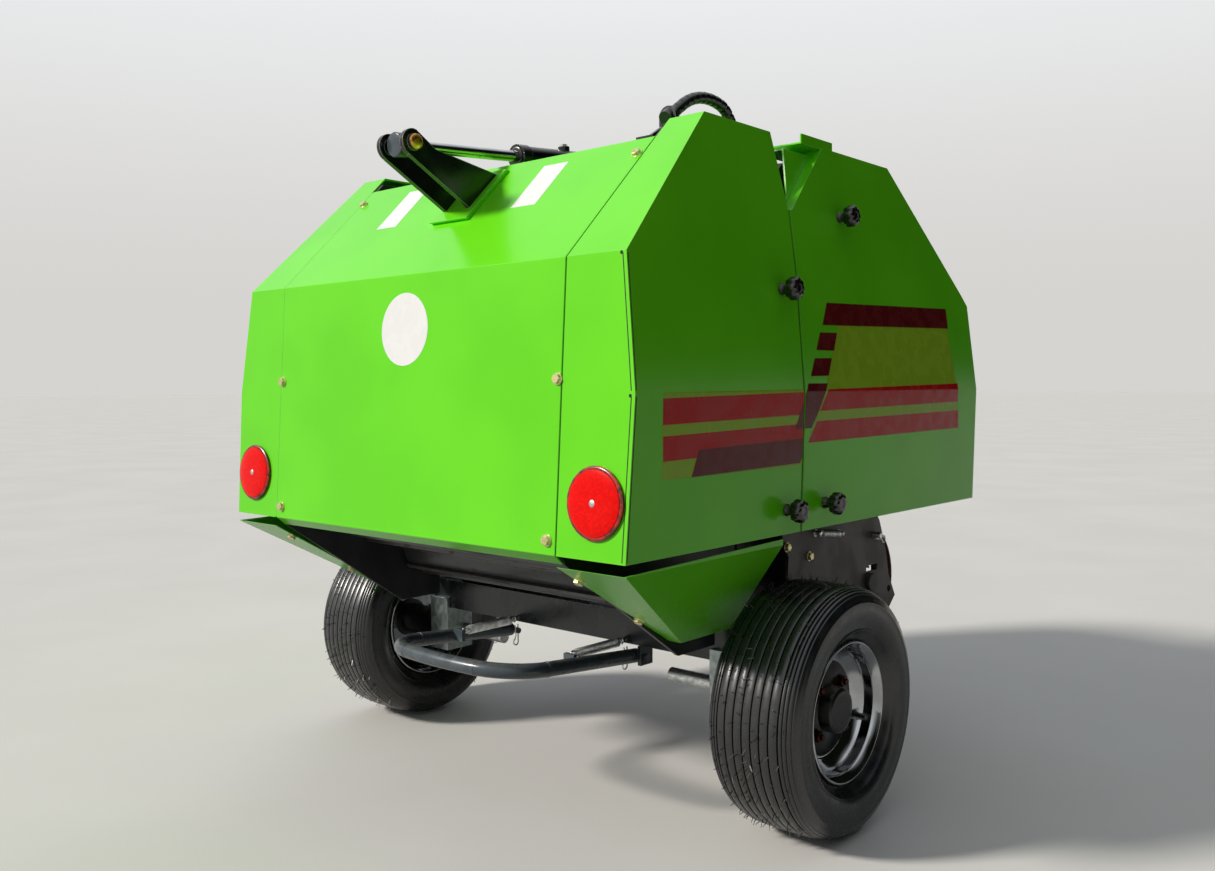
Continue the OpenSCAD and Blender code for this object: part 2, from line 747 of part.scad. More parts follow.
/* Front frame: tubes outside the chamber plates, and the cross tubes */
rail_z = front_plate_foot;
rail_rear = 500;
cross_y = 1070;
module front_frame() {
    color(frame_grey) place() {
        both_sides() difference() {
            block([side_x + seat, rail_rear, rail_z], [pickup_x, cross_y + tube_w,
                rail_z + tube_w]);
            block([side_x + seat + 4, rail_rear - cut, rail_z + 4], [pickup_x - 4, cross_y,
                rail_z + tube_w - 4]);
        }
        block([-pickup_x, cross_y, rail_z], [pickup_x, cross_y + tube_w, rail_z + tube_w]);
        // Top cross tube under the hood, which carries the cylinder
        block([-chamber_w / 2 + seat, barrel_pin_y - 30, hood_z - sheet_t - seat - 40],
            [chamber_w / 2 - seat, barrel_pin_y + 30, hood_z - sheet_t - seat]);
    }
}

/* Three-point hitch frame on the front cross tube */
hitch_face = cross_y + tube_w + seat;
mast_y = 1195;
mast_gap = 52;
mast_t = 12;
mast_foot_x = hitch_lug_x - hitch_lug_t - tube_w - 2 * clear;
module hitch_lugs() {
    both_sides() {
        along_x(hitch_lug_x - hitch_lug_t, hitch_lug_x) polygon([
            [hitch_face, rail_z], [hitch_face, rail_z + tube_w],
            [hitch_y, hitch_z + 25], [hitch_y + hitch_tip, hitch_z + 14],
            [hitch_y + hitch_tip, hitch_z - 16],
            [hitch_y - 10, hitch_z - 22]]);
        bar_x(hitch_lug_x - cut, hitch_lug_x + hitch_pin_l, hitch_y, hitch_z, hitch_pin_r);
        bar_x(hitch_lug_x - hitch_lug_t - 8, hitch_lug_x - hitch_lug_t + cut, hitch_y, hitch_z,
            hitch_pin_r + 4);
    }
}

module hitch_frame() {
    top_z = hitch_z + mast_h;
    color(frame_grey) place() {
        hitch_lugs();
        both_sides() {
            // Inclined leg of the A frame
            difference() {
                translate([mast_foot_x, hitch_face, rail_z + 10])
                    rotate([0, -atan((mast_foot_x - mast_gap / 2) / (mast_h - 40)), 0])
                        cube([tube_w, mast_t, norm([mast_foot_x - mast_gap / 2, mast_h - 40])]);
                block([-mast_gap / 2, 0, rail_z], [mast_gap / 2, shield_l + 100, top_z + 100]);
            }
            difference() {
                along_x(mast_gap / 2, mast_gap / 2 + mast_t) polygon([
                    [hitch_face, top_z - 90], [hitch_face, top_z + 20], [mast_y, top_z + 24],
                    [mast_y + 24, top_z + 12], [mast_y + 24, top_z - 24], [mast_y, top_z - 36]]);
                bar_x(0, mast_gap, mast_y, top_z, mast_bore_r);
            }
        }
        block([-mast_gap / 2 - cut, hitch_face, top_z - 80], [mast_gap / 2 + cut,
            hitch_face + mast_t, top_z - 30]);
    }
}

/* Gearbox on its base plate, with the cross shaft to the drive side */
box_y0 = 950;
box_l = 130;
box_x = 80;
box_z0 = rail_z + tube_w + seat;
box_h = 130;
box_nose = 16;
shaft_z = box_z0 + 70;
module gearbox() {
    color(frame_grey) place() difference() {
        union() {
            block([-box_x, box_y0, box_z0], [box_x, cross_y + tube_w, box_z0 + 10]);
            block([-box_x + 12, box_y0, box_z0], [box_x - 12, box_y0 + box_l, box_z0 + box_h]);
            translate([0, box_y0 + box_l - cut, shaft_z]) rotate([-90, 0, 0])
                cylinder(h = box_nose + cut, r = 45);
            // Cross shaft in its tube
            bar_x(-chamber_w / 2 + seat, -box_x + 12 + cut, box_y0 + 30, shaft_z, 20);
        }
        translate([0, box_y0 + pto_in - 2, shaft_z]) rotate([-90, 0, 0])
            cylinder(h = box_l, r = pto_seal_r + run_fit);
    }
}

pto_r = 17.5;
pto_end = 1215;
pto_in = 62;
pto_seal_r = pto_r + 4;
// Distance forward where the splined end starts, just outside the gearbox's nose
pto_nose = box_y0 + box_l + box_nose + 2;
module pto_shaft() {
    color(zinc) place() translate([0, 0, shaft_z]) rotate([-90, 0, 0]) {
        translate([0, 0, box_y0 + pto_in]) cylinder(h = pto_nose - box_y0 - pto_in, r = pto_seal_r);
        translate([0, 0, pto_nose]) cylinder(h = pto_end - pto_nose, r = pto_r);
    }
}

/* Pickup */
reel_drum_r = 22;
band_r = tine_r - 34;
band_t = 3;
band_w = 40;
band_reach = 141;
band_bar = 6;
band_bar_h = 20;
pickup_plate_t = 6;
// The plate's outline below the rail, from the reel's middle
pickup_back = 316;
pickup_nose = 16;
pickup_outline = [[-pickup_back, 123], [-296, 85], [-299, 48], [-200, -30], [-160, -116],
    [-60, -124], [0, -118], [66, -80], [110, -42], [81, 6], [69, 57], [42, 117]];
// Slot for the chain's tightener, and the hole beside it
tightener_slot = [44, 12];
tightener_at = [-12, 20];
plate_hole_at = [83, -25];
plate_hole_r = 7;
module pickup_side_outline() {
    rail_foot = rail_z - seat - reel_z;
    translate([reel_y, reel_z]) difference() {
        polygon(concat(pickup_outline, [[pickup_nose, rail_foot], [-pickup_back, rail_foot]]));
        translate(tightener_at) square(tightener_slot);
        translate(plate_hole_at) circle(r = plate_hole_r);
    }
}

module pickup_sides() {
    color(frame_grey) place() both_sides() difference() {
        along_x(pickup_x - pickup_plate_t, pickup_x) pickup_side_outline();
        bar_x(0, pickup_x + cut, reel_y, reel_z, roller_shaft_r + run_fit);
    }
}

module hairpin_outline(r) {
    translate([reel_y, reel_z]) circle(r = r);
    translate([reel_y - band_reach, reel_z - r]) square([band_reach, 2 * r]);
}

// A strip bent like a hairpin round the reel, from x0 to x1
module band(x0, x1) {
    along_x(x0, x1) difference() {
        hairpin_outline(band_r);
        hairpin_outline(band_r - band_t);
        translate([reel_y - band_reach - cut, reel_z - band_r + band_t])
            square([2 * cut, 2 * (band_r - band_t)]);
    }
}

// Cross bars that carry the ends of the strips, from x0 to x1
module band_bars(x0, x1) {
    for (z = [reel_z - band_r, reel_z + band_r - band_bar_h]) {
        block([x0, reel_y - band_reach, z],
            [x1, reel_y - band_reach + band_bar, z + band_bar_h]);
    }
}

module pickup_bands() {
    n = tine_count - 1;
    inner_x = chamber_w / 2 - seat;
    outer_x0 = side_x + seat;
    outer_x1 = pickup_x - pickup_plate_t - seat;
    color(frame_grey) place() {
        for (i = [0 : n - 1]) {
            x = (i - (n - 1) / 2) * tine_pitch;
            band(x - band_w / 2, x + band_w / 2);
        }
        band_bars(-inner_x, inner_x);
        // The strips outside the chamber plates
        both_sides() {
            band(outer_x0, outer_x1);
            band_bars(outer_x0, outer_x1);
        }
    }
}

module pickup_reel() {
    color(zinc) place() translate([0, reel_y, reel_z]) {
        rotate([0, 90, 0]) {
            cylinder(h = 2 * pickup_x + 20, r = roller_shaft_r, center = true);
            cylinder(h = 2 * pickup_x - 40, r = reel_drum_r, center = true);
        }
        for (b = [0 : tine_bars - 1]) rotate([360 * b / tine_bars, 0, 0]) {
            for (i = [0 : tine_count - 1]) {
                translate([(i - (tine_count - 1) / 2) * tine_pitch, 0, 0])
                    cylinder(h = tine_r, r = 2.5, $fn = 6);
            }
        }
    }
}

/* Parking stand */
sleeve_t = 4;
sleeve_in = stand_w + 2 * seat;
sleeve_low = rail_z - 30;
sleeve_top = rail_z + 100;
leg_t = 4;
leg_floor = 30;
leg_top = sleeve_top + 20;
foot_half = 60;
foot_t = 6;
module stand_sleeve() {
    o = sleeve_in + 2 * sleeve_t;
    color(frame_grey) place() difference() {
        block([stand_x - o / 2, cross_y - seat - o, sleeve_low], [stand_x + o / 2,
            cross_y - seat, sleeve_top]);
        block([stand_x - sleeve_in / 2, cross_y - seat - o + sleeve_t, sleeve_low - cut],
            [stand_x + sleeve_in / 2, cross_y - seat - sleeve_t, sleeve_top + cut]);
    }
}

module stand_leg() {
    o = sleeve_in + 2 * sleeve_t;
    mid = cross_y - seat - o / 2;
    color(zinc) place() {
        difference() {
            block([stand_x - stand_w / 2, mid - stand_w / 2, foot_t - cut],
                [stand_x + stand_w / 2, mid + stand_w / 2, leg_top]);
            block([stand_x - stand_w / 2 + leg_t, mid - stand_w / 2 + leg_t, leg_floor],
                [stand_x + stand_w / 2 - leg_t, mid + stand_w / 2 - leg_t, leg_top + cut]);
        }
        block([stand_x - foot_half, mid - foot_half + 10, 0],
            [stand_x + foot_half, mid + foot_half - 10, foot_t]);
    }
}

/* Twine box under the hood */
twine_y = 810;
twine_l = 195;
twine_z = 720;
twine_h = 180;
module twine_box() {
    x = chamber_w / 2 - seat;
    t = sheet_t;
    color(frame_grey) place() difference() {
        block([-x, twine_y, twine_z], [x, twine_y + twine_l, twine_z + twine_h]);
        block([-x + t, twine_y + t, twine_z + t],
            [x - t, twine_y + twine_l - t, twine_z + twine_h + cut]);
    }
}

/* Lifting cylinder, drawn along its own axis from the barrel's pin rearwards */
cyl_l = norm([barrel_pin_y - rod_pin_y, barrel_pin_z - rod_pin_z]);
cyl_tilt = atan((barrel_pin_z - rod_pin_z) / (barrel_pin_y - rod_pin_y));
eye_r = 20;
ear_x = 24;
ear_t = 10;
// Turns the axis so that +Z of the children runs from the barrel's pin to the rod's pin
module on_cylinder() {
    translate([0, barrel_pin_y, barrel_pin_z]) rotate([90 + cyl_tilt, 0, 0]) children();
}

gland_at = cyl_l - rod_show;
rod_in = 225;
eye_l = 34;
module cylinder_barrel() {
    color(black) place() on_cylinder() difference() {
        union() {
            cylinder(h = gland_at, r = barrel_r);
            translate([0, 0, gland_at - 22]) cylinder(h = 22, r = barrel_r + 2);
            rotate([0, 90, 0]) cylinder(h = 2 * ear_x - 2 * seat, r = eye_r, center = true);
        }
        translate([0, 0, 60]) cylinder(h = gland_at, r = rod_r + run_fit);
        rotate([0, 90, 0]) cylinder(h = 3 * ear_x, r = cyl_pin_r + run_fit, center = true);
    }
}

module cylinder_rod() {
    color(chrome) place() on_cylinder() {
        translate([0, 0, gland_at - rod_in]) cylinder(h = rod_show + rod_in, r = rod_r);
        translate([0, 0, cyl_l]) {
            translate([0, 0, 12 - eye_l]) cylinder(h = eye_l, r = barrel_r);
            rotate([0, 90, 0]) cylinder(h = 2 * arm_in - 2 * seat, r = cyl_pin_r, center = true);
        }
    }
}

clevis_low = hood_z - sheet_t - seat;
module cylinder_clevis() {
    color(black) place() {
        both_sides() along_x(ear_x, ear_x + ear_t) union() {
            translate([barrel_pin_y, barrel_pin_z]) circle(r = eye_r);
            polygon([[barrel_pin_y - eye_r, barrel_pin_z], [barrel_pin_y + eye_r, barrel_pin_z],
                [barrel_pin_y + 28, hood_z + seat + 6], [barrel_pin_y - 28, hood_z + seat + 6]]);
        }
        block([-50, barrel_pin_y - 32, hood_z + seat], [50, barrel_pin_y + 32, hood_z + seat + 8]);
        bar_x(-ear_x - ear_t - 6, ear_x + ear_t + 6, barrel_pin_y, barrel_pin_z, cyl_pin_r);
    }
}

/* Hose from the tailgate's top to the hood, with a bracket at each end */
hose_y0 = 310;
hose_z0 = 1172;
hose_rise = 35;
// Stretches of the hose: straight length, radius of the bend after it, turn upwards
hose_path = [[31, 130, -50], [0, 40, -34], [30, 40, 49], [21, 0, 0]];

// Place in (y, z) where the stretches from number i on end, from a place and a heading
function hose_end(i, at, heading) = i == len(hose_path) ? at
    : let (run = hose_path[i][0],
        bend = hose_path[i][1] * sign(hose_path[i][2]),
        next = heading + hose_path[i][2])
    hose_end(i + 1, at + run * [cos(heading), sin(heading)]
        + bend * [sin(next) - sin(heading), cos(heading) - cos(next)], next);
hose_stop = hose_end(0, [hose_y0 + seat * cos(hose_rise), hose_z0 + seat * sin(hose_rise)],
    hose_rise);

// Draws the stretches from number i on, each in the frame where the last one ended
module hose_from(i) {
    if (i < len(hose_path)) {
        run = hose_path[i][0];
        turn = hose_path[i][2];
        bend = hose_path[i][1] * sign(turn);
        if (run > 0) cylinder(h = run, r = hose_r);
        translate([0, 0, run]) {
            // The guard's coil stands proud where two stretches meet
            if (turn != 0) translate([0, 0, -weld_w / 2])
                cylinder(h = weld_w, r = hose_r + weld_rise);
            if (turn != 0) {
                mirror([0, turn < 0 ? 1 : 0, 0]) translate([0, -abs(bend), 0])
                    rotate([90, 0, 90]) rotate_extrude(angle = abs(turn))
                        translate([abs(bend), 0]) circle(r = hose_r);
            }
            translate([0, -bend, 0]) rotate([turn, 0, 0]) translate([0, bend, 0]) {
                if (turn != 0) translate([0, 0, -weld_w / 2])
                    cylinder(h = weld_w, r = hose_r + weld_rise);
                hose_from(i + 1);
            }
        }
    }
}

module hydraulic_hose() {
    color(rubber) place() translate([hose_x, hose_y0, hose_z0])
        rotate([hose_rise - 90, 0, 0]) translate([0, 0, seat]) hose_from(0);
}

// Bracket on the tailgate's cover, with the ferrule that the hose starts in
hose_x = chamber_w / 2 - hose_in;
hose_ear_r = 17;
hose_ear_t = 6;
hose_foot_t = 5;
hose_foot_in = 6;
ferrule_l = 22;
ferrule_wall = 3;
module hose_bracket() {
    ear_y = hose_y0 - ferrule_l / 2;
    ear_z = hose_z0 - ferrule_l / 2 * tan(hose_rise);
    foot = cover_top_z + seat;
    color(black) place() {
        along_y(ear_y - hose_ear_t / 2, ear_y + hose_ear_t / 2) {
            translate([hose_x, ear_z]) circle(r = hose_ear_r);
            translate([hose_x - hose_ear_r, foot]) square([2 * hose_ear_r, ear_z - foot]);
        }
        block([hose_x - hose_ear_r, slope_y(cover_top_z) + hose_foot_in, foot],
            [hose_x + hose_ear_r, hose_y0 + hose_foot_t + 3, foot + hose_foot_t]);
        // Gusset behind the ear
        along_x(hose_x - hose_ear_t / 2, hose_x + hose_ear_t / 2) polygon([
            [slope_y(cover_top_z) + hose_foot_in + 2, foot + cut],
            [ear_y, foot + cut], [ear_y, ear_z - 8]]);
        translate([hose_x, hose_y0, hose_z0]) rotate([hose_rise - 90, 0, 0])
            translate([0, 0, -ferrule_l]) cylinder(h = ferrule_l, r = hose_r + ferrule_wall);
    }
}

// Bulkhead on the hood, with the elbow that the hose ends in
bulkhead_r = hose_ear_r - 2;
elbow_r = hose_r - 1;
elbow_l = 30;
module hose_fitting() {
    foot = hood_z + seat;
    face = hose_stop[0] + seat;
    elbow_y = face + elbow_l;
    color(zinc) place() {
        along_y(face, face + hose_foot_t) {
            translate([hose_x, hose_stop[1]]) circle(r = bulkhead_r);
            translate([hose_x - bulkhead_r, foot]) square([2 * bulkhead_r, hose_stop[1] - foot]);
        }
        block([hose_x - bulkhead_r, face, foot],
            [hose_x + bulkhead_r, elbow_y + elbow_r + hose_foot_t, foot + hose_foot_t]);
        translate([hose_x, face + cut, hose_stop[1]]) rotate([-90, 0, 0])
            cylinder(h = elbow_y - face - cut, r = elbow_r - 1);
        translate([hose_x, elbow_y, foot + cut])
            cylinder(h = hose_stop[1] + elbow_r + 3 - foot - cut, r = elbow_r);
    }
}

/* Arm on the tailgate's slope that the rod pulls */
arm_in = 26;
arm_t = 8;
arm_r = 22;
arm_drop = 93;
arm_step = 27;
arm_low = rod_pin_z - arm_drop;
arm_high = rod_pin_z - arm_step;
arm_base = 48;
arm_base_t = 8;
module cylinder_arm() {
    // Horizontal offset of the base plate's seat on the slope
    off = seat / sin(rear_slope);
    color(black) place() {
        both_sides() {
            along_x(arm_in, arm_in + arm_t) union() {
                translate([rod_pin_y, rod_pin_z]) circle(r = arm_r);
                polygon([[rod_pin_y - 8, rod_pin_z - 21], [slope_y(arm_low) - 4, arm_low],
                    [slope_y(arm_high) - 4, arm_high], [rod_pin_y + 46, rod_pin_z - 4],
                    [rod_pin_y + 8, rod_pin_z + 20]]);
            }
            bar_x(arm_in + cut, arm_in + arm_t + 6, rod_pin_y, rod_pin_z, 12.5);
        }
        // Base plate on the slope
        along_x(-arm_base, arm_base) polygon([
            [slope_y(arm_low - 20) - off - arm_base_t, arm_low - 18],
            [slope_y(arm_low - 20) - off, arm_low - 20],
            [slope_y(arm_high + 8) - off, arm_high + 8],
            [slope_y(arm_high + 8) - off - arm_base_t, arm_high + 10]]);
    }
}

/* Round red reflectors on the rear face */
reflector_x = 437;
reflector_z = 568;
reflector_t = 9;
reflector_r = 52;
lens_r = 46;
lean_angle = atan(rear_lean / (fold_z - foot_z));

// The machine's ends, between which it is centred
rearmost = rear_y(reflector_z) - seat - reflector_t * cos(lean_angle) - lens_r * sin(lean_angle);
frontmost = hitch_y + hitch_tip;
middle_y = (rearmost + frontmost) / 2;

module reflectors() {
    color([0.8, 0.1, 0.05]) place() both_sides()
        translate([reflector_x, rear_y(reflector_z) - seat, reflector_z])
            rotate([90 - lean_angle, 0, 0]) {
                cylinder(h = reflector_t / 2, r = reflector_r);
                cylinder(h = reflector_t, r = lens_r);
            }
}

chamber_side_left();
chamber_side_right();
front_hood();
front_shield_left();
front_shield_right();
axle_beam();
wheel_legs();
axle_stubs();
front_rollers();
front_frame();
hitch_frame();
gearbox();
pickup_sides();
pickup_bands();
stand_sleeve();
cylinder_clevis();
twine_box();
front_knobs();
kicker_springs();
hydraulic_hose();
hose_fitting();
hose_bracket();
rear_cover();
rear_shield_left();
rear_shield_right();
lower_wedge_left();
lower_wedge_right();
tailgate_side_left();
tailgate_side_right();
tailgate_rollers();
cylinder_arm();
reflectors();
rear_knobs();
tyre_left();
rim_left();
hub_left();
tyre_right();
rim_right();
hub_right();
kicker();
pickup_reel();
pto_shaft();
stand_leg();
cylinder_barrel();
cylinder_rod();
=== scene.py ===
"""Looks of a mini round baler: enamel, plating, tyres, stripes, springs and fittings.

Lengths are millimetres in the machine's own drawing: X to the right, Y forward from the foot of
the rear face, Z up from the ground. at() turns a drawn point into the frame's metres.
"""

import logging
import math
import random
from dataclasses import dataclass
from enum import Enum
from typing import Callable, Sequence

import bmesh
import bpy
from mathutils import Matrix, Vector


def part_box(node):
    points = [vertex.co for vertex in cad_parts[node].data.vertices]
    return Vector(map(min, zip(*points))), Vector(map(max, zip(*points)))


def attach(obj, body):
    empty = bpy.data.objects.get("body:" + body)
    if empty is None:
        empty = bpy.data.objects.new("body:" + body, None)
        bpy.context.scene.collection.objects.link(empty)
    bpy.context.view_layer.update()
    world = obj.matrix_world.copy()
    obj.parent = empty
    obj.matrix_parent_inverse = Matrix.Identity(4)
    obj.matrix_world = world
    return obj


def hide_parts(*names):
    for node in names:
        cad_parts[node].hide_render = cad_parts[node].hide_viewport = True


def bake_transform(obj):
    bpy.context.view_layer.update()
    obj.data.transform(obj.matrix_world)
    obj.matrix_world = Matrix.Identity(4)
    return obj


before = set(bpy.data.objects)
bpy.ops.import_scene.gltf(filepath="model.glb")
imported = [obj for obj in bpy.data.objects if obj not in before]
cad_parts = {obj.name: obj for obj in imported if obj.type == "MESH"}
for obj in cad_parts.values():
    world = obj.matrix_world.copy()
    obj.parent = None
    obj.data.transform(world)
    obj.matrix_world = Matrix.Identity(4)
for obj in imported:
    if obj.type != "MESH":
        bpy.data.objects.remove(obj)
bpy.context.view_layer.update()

MM = 0.001
# Row-frame distance of the rear face's foot, from which the drawing counts forward
DATUM_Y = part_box("rear_cover")[0].y

Point = tuple[float, float]
Outline = tuple[Point, ...]
Tree = bpy.types.NodeTree
Socket = bpy.types.NodeSocket

log = logging.getLogger("baler")


# Units and colours


def at(x: float, y: float, z: float) -> Vector:
    """Turns a drawn point into the frame's metres.

    Args:
        x: Distance to the right of the machine's middle, in mm.
        y: Distance forward of the rear face's foot, in mm.
        z: Height above the ground, in mm.

    Returns:
        The point in the row frame.
    """
    return Vector((x * MM, y * MM + DATUM_Y, z * MM))


def drawn_box(node: str) -> tuple[Vector, Vector]:
    """Reads a frame node's box back in the drawing's millimetres.

    Args:
        node: The node's name.

    Returns:
        Its lowest and highest corner.
    """
    low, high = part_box(node)
    shift = Vector((0, DATUM_Y, 0))
    return (low - shift) / MM, (high - shift) / MM


def per_mm(size: float) -> float:
    """Returns the texture scale that gives a pattern this size in mm on object coordinates."""
    return 1000 / size


def hex_linear(code: str) -> tuple[float, float, float, float]:
    """Turns an sRGB hex colour into linear light.

    Args:
        code: Six hex digits after a hash.

    Returns:
        Red, green, blue and an alpha of one.
    """
    channels = [int(code[i:i + 2], 16) / 255 for i in (1, 3, 5)]
    linear = [c / 12.92 if c <= 0.04045 else ((c + 0.055) / 1.055) ** 2.4 for c in channels]
    return (linear[0], linear[1], linear[2], 1.0)


class Side(Enum):
    """The machine's two sides, seen in the direction of travel."""

    LEFT = -1
    RIGHT = 1

    @property
    def word(self) -> str:
        """The side's name inside a piece's name."""
        return self.name.lower()


class Body(Enum):
    """The moving bodies that pieces ride on."""

    CHASSIS = "chassis"
    TAILGATE = "tailgate"
    WHEEL_LEFT = "wheel_left"
    WHEEL_RIGHT = "wheel_right"
    KICKER = "kicker"
    REEL = "pickup_reel"
    PTO = "pto_shaft"
    BARREL = "cylinder_barrel"
    ROD = "cylinder_rod"


# Materials

# Settings that several nodes share
SMOOTH = {"interpolation_type": "SMOOTHSTEP"}
TIMES = {"operation": "MULTIPLY"}


def add_node(tree: Tree, kind: str, values: dict | None = None, out: int | str = 0
             ) -> Socket | None:
    """Adds one shader node with its settings and links.

    Args:
        tree: The tree that the node goes into.
        kind: The node's type, as written after ShaderNode.
        values: What each attribute, or each input by name or number, gets: a value, a hex
            colour, or an output socket, which is linked to it.
        out: The output to return, by name or number.

    Returns:
        That output, or None from a node that ends a tree.
    """
    node = tree.nodes.new("ShaderNode" + kind)
    for key, value in (values or {}).items():
        if isinstance(value, Socket):
            tree.links.new(value, node.inputs[key])
        elif isinstance(key, str) and hasattr(node, key):
            setattr(node, key, value)
        elif isinstance(value, str):
            node.inputs[key].default_value = hex_linear(value)
        else:
            node.inputs[key].default_value = value
    return node.outputs[out] if node.outputs else None


def patches(tree: Tree, where: Socket, size: float, detail: float = 3.0,
            levels: Point = (0.35, 0.65), result: Point = (0.0, 1.0),
            roughness: float = 0.5) -> Socket:
    """Spreads soft-edged patches of a real size.

    Args:
        tree: The material's tree.
        where: The coordinates that they are laid on.
        size: The size of one patch, in mm.
        detail: Octaves of finer noise.
        levels: The noise at which a patch begins, and at which it is full.
        result: The value beside the patches, and the value in them.
        roughness: Strength of the finer octaves.

    Returns:
        The value at each place.
    """
    noise = add_node(tree, "TexNoise", {"Vector": where, "Scale": per_mm(size),
                                        "Detail": detail, "Roughness": roughness})
    return add_node(tree, "MapRange", {**SMOOTH, "Value": noise, "From Min": levels[0],
                                       "From Max": levels[1], "To Min": result[0],
                                       "To Max": result[1]})


def relief(tree: Tree, where: Socket, size: float, depth: float, detail: float = 2.0,
           below: Socket | None = None) -> Socket:
    """Roughens a surface with bumps of a real size and depth.

    Args:
        tree: The material's tree.
        where: The coordinates that they are laid on.
        size: The size of one bump, in mm.
        depth: Its depth, in mm.
        detail: Octaves of finer noise.
        below: The normal of a coarser relief that this one lies on.

    Returns:
        The roughened normal.
    """
    noise = add_node(tree, "TexNoise", {"Vector": where, "Scale": per_mm(size),
                                        "Detail": detail, "Roughness": 0.5})
    under = {} if below is None else {"Normal": below}
    return add_node(tree, "Bump", {"Distance": depth * MM, "Height": noise, **under})


def layered(tree: Tree, base: Socket | str, *layers: tuple[Socket, Socket | str]) -> Socket:
    """Lays colours over one another, as paint, wear and dust lie on the machine.

    Args:
        tree: The material's tree.
        base: The lowest colour, as a socket or a hex code.
        layers: The mask and the colour of each layer over it.

    Returns:
        The colour that shows.
    """
    for mask, colour in layers:
        base = add_node(tree, "Mix", {"data_type": "RGBA", 0: mask, 6: base, 7: colour}, 2)
    return base


def edge_mask(tree: Tree, radius: float) -> Socket:
    """Finds the outer and inner edges of a piece.

    Args:
        tree: The material's tree.
        radius: How wide a band beside each edge counts, in mm.

    Returns:
        One along the edges and zero on open faces.
    """
    rounded = add_node(tree, "Bevel", {"samples": 4, "Radius": radius * MM})
    plain = add_node(tree, "NewGeometry", out="Normal")
    alike = add_node(tree, "VectorMath", {"operation": "DOT_PRODUCT", 0: rounded, 1: plain},
                     "Value")
    return add_node(tree, "MapRange", {**SMOOTH, "Value": alike, "From Min": 0.995,
                                       "From Max": 0.9})


def seen_directly(tree: Tree) -> Socket:
    """Picks the rays that see the backdrop: from the camera, a reflection or glass.

    Args:
        tree: The tree of a material or the world.

    Returns:
        One for those rays, and zero for the rest.
    """
    rays = add_node(tree, "LightPath").node.outputs
    seen = rays["Is Camera Ray"]
    for name in ("Is Glossy Ray", "Is Transmission Ray"):
        seen = add_node(tree, "Math", {"operation": "MAXIMUM", 0: seen, 1: rays[name]})
    return seen


def surface(tree: Tree, values: dict) -> None:
    """Ends a material in a principled shader with these settings and links."""
    shader = add_node(tree, "BsdfPrincipled", values)
    add_node(tree, "OutputMaterial", {"Surface": shader})


@dataclass(frozen=True)
class Finish:
    """A finish with a name and the record slot that it stands for."""

    name: str
    slot: str

    def material(self) -> bpy.types.Material:
        """Makes the finish's material at its first use.

        Returns:
            The material.
        """
        material = bpy.data.materials.get(self.name)
        if material is None:
            material = bpy.data.materials.new(self.name)
            material.use_nodes = True
            tree = material.node_tree
            tree.nodes.clear()
            self.coat(tree, add_node(tree, "TexCoord", out="Object"))
        return material

    def coat(self, tree: Tree, where: Socket) -> None:
        """Fills the material's tree, on object coordinates that are the row frame's metres."""
        raise NotImplementedError


@dataclass(frozen=True)
class SheetEnamel(Finish):
    """Baked gloss enamel sprayed on folded sheet steel."""

    colour: str = "#73EC1E"
    shade: str = "#6CE419"
    # Pale colour laid along the folds and edges: a painted highlight where the folded sheet
    # catches the light
    edge: str = "#A6EE78"
    dust: str = "#A9A184"

    def coat(self, tree: Tree, where: Socket) -> None:
        """Sprays the enamel: a slow change of film thickness, orange peel, a pale painted
        highlight along the folds, and dust.

        The clear gloss gives the eye long soft reflections, which the sheet's own waviness bends.

        Args:
            tree: The material's tree.
            where: Object coordinates.
        """
        cloud = patches(tree, where, 240, 2.0)
        # The folds' pale colour is a painted highlight
        fold_highlight = add_node(tree, "Math", {**TIMES, 0: edge_mask(tree, 1.6), 1: 0.55})
        height = add_node(tree, "SeparateXYZ", {0: where}, "Z")
        low = add_node(tree, "MapRange", {**SMOOTH, "Value": height, "From Min": 0.5,
                                          "From Max": 0.34, "To Max": 0.16})
        specks = patches(tree, where, 7, 5.0, (0.45, 0.75), roughness=0.7)
        dusty = add_node(tree, "Math", {**TIMES, 0: low, 1: specks})
        colour = layered(tree, self.shade, (cloud, self.colour), (fold_highlight, self.edge),
                         (dusty, self.dust))
        rough = add_node(tree, "MapRange", {**SMOOTH, "Value": dusty, "From Max": 0.2,
                                            "To Min": 0.24, "To Max": 0.42})
        wave = relief(tree, where, 190, 0.3, 1.0)
        peel = relief(tree, where, 2.4, 0.012, 1.0, wave)
        surface(tree, {"IOR": 1.34, "Coat Weight": 0.06, "Coat Roughness": 0.05,
                       "Base Color": colour, "Roughness": rough, "Normal": peel})


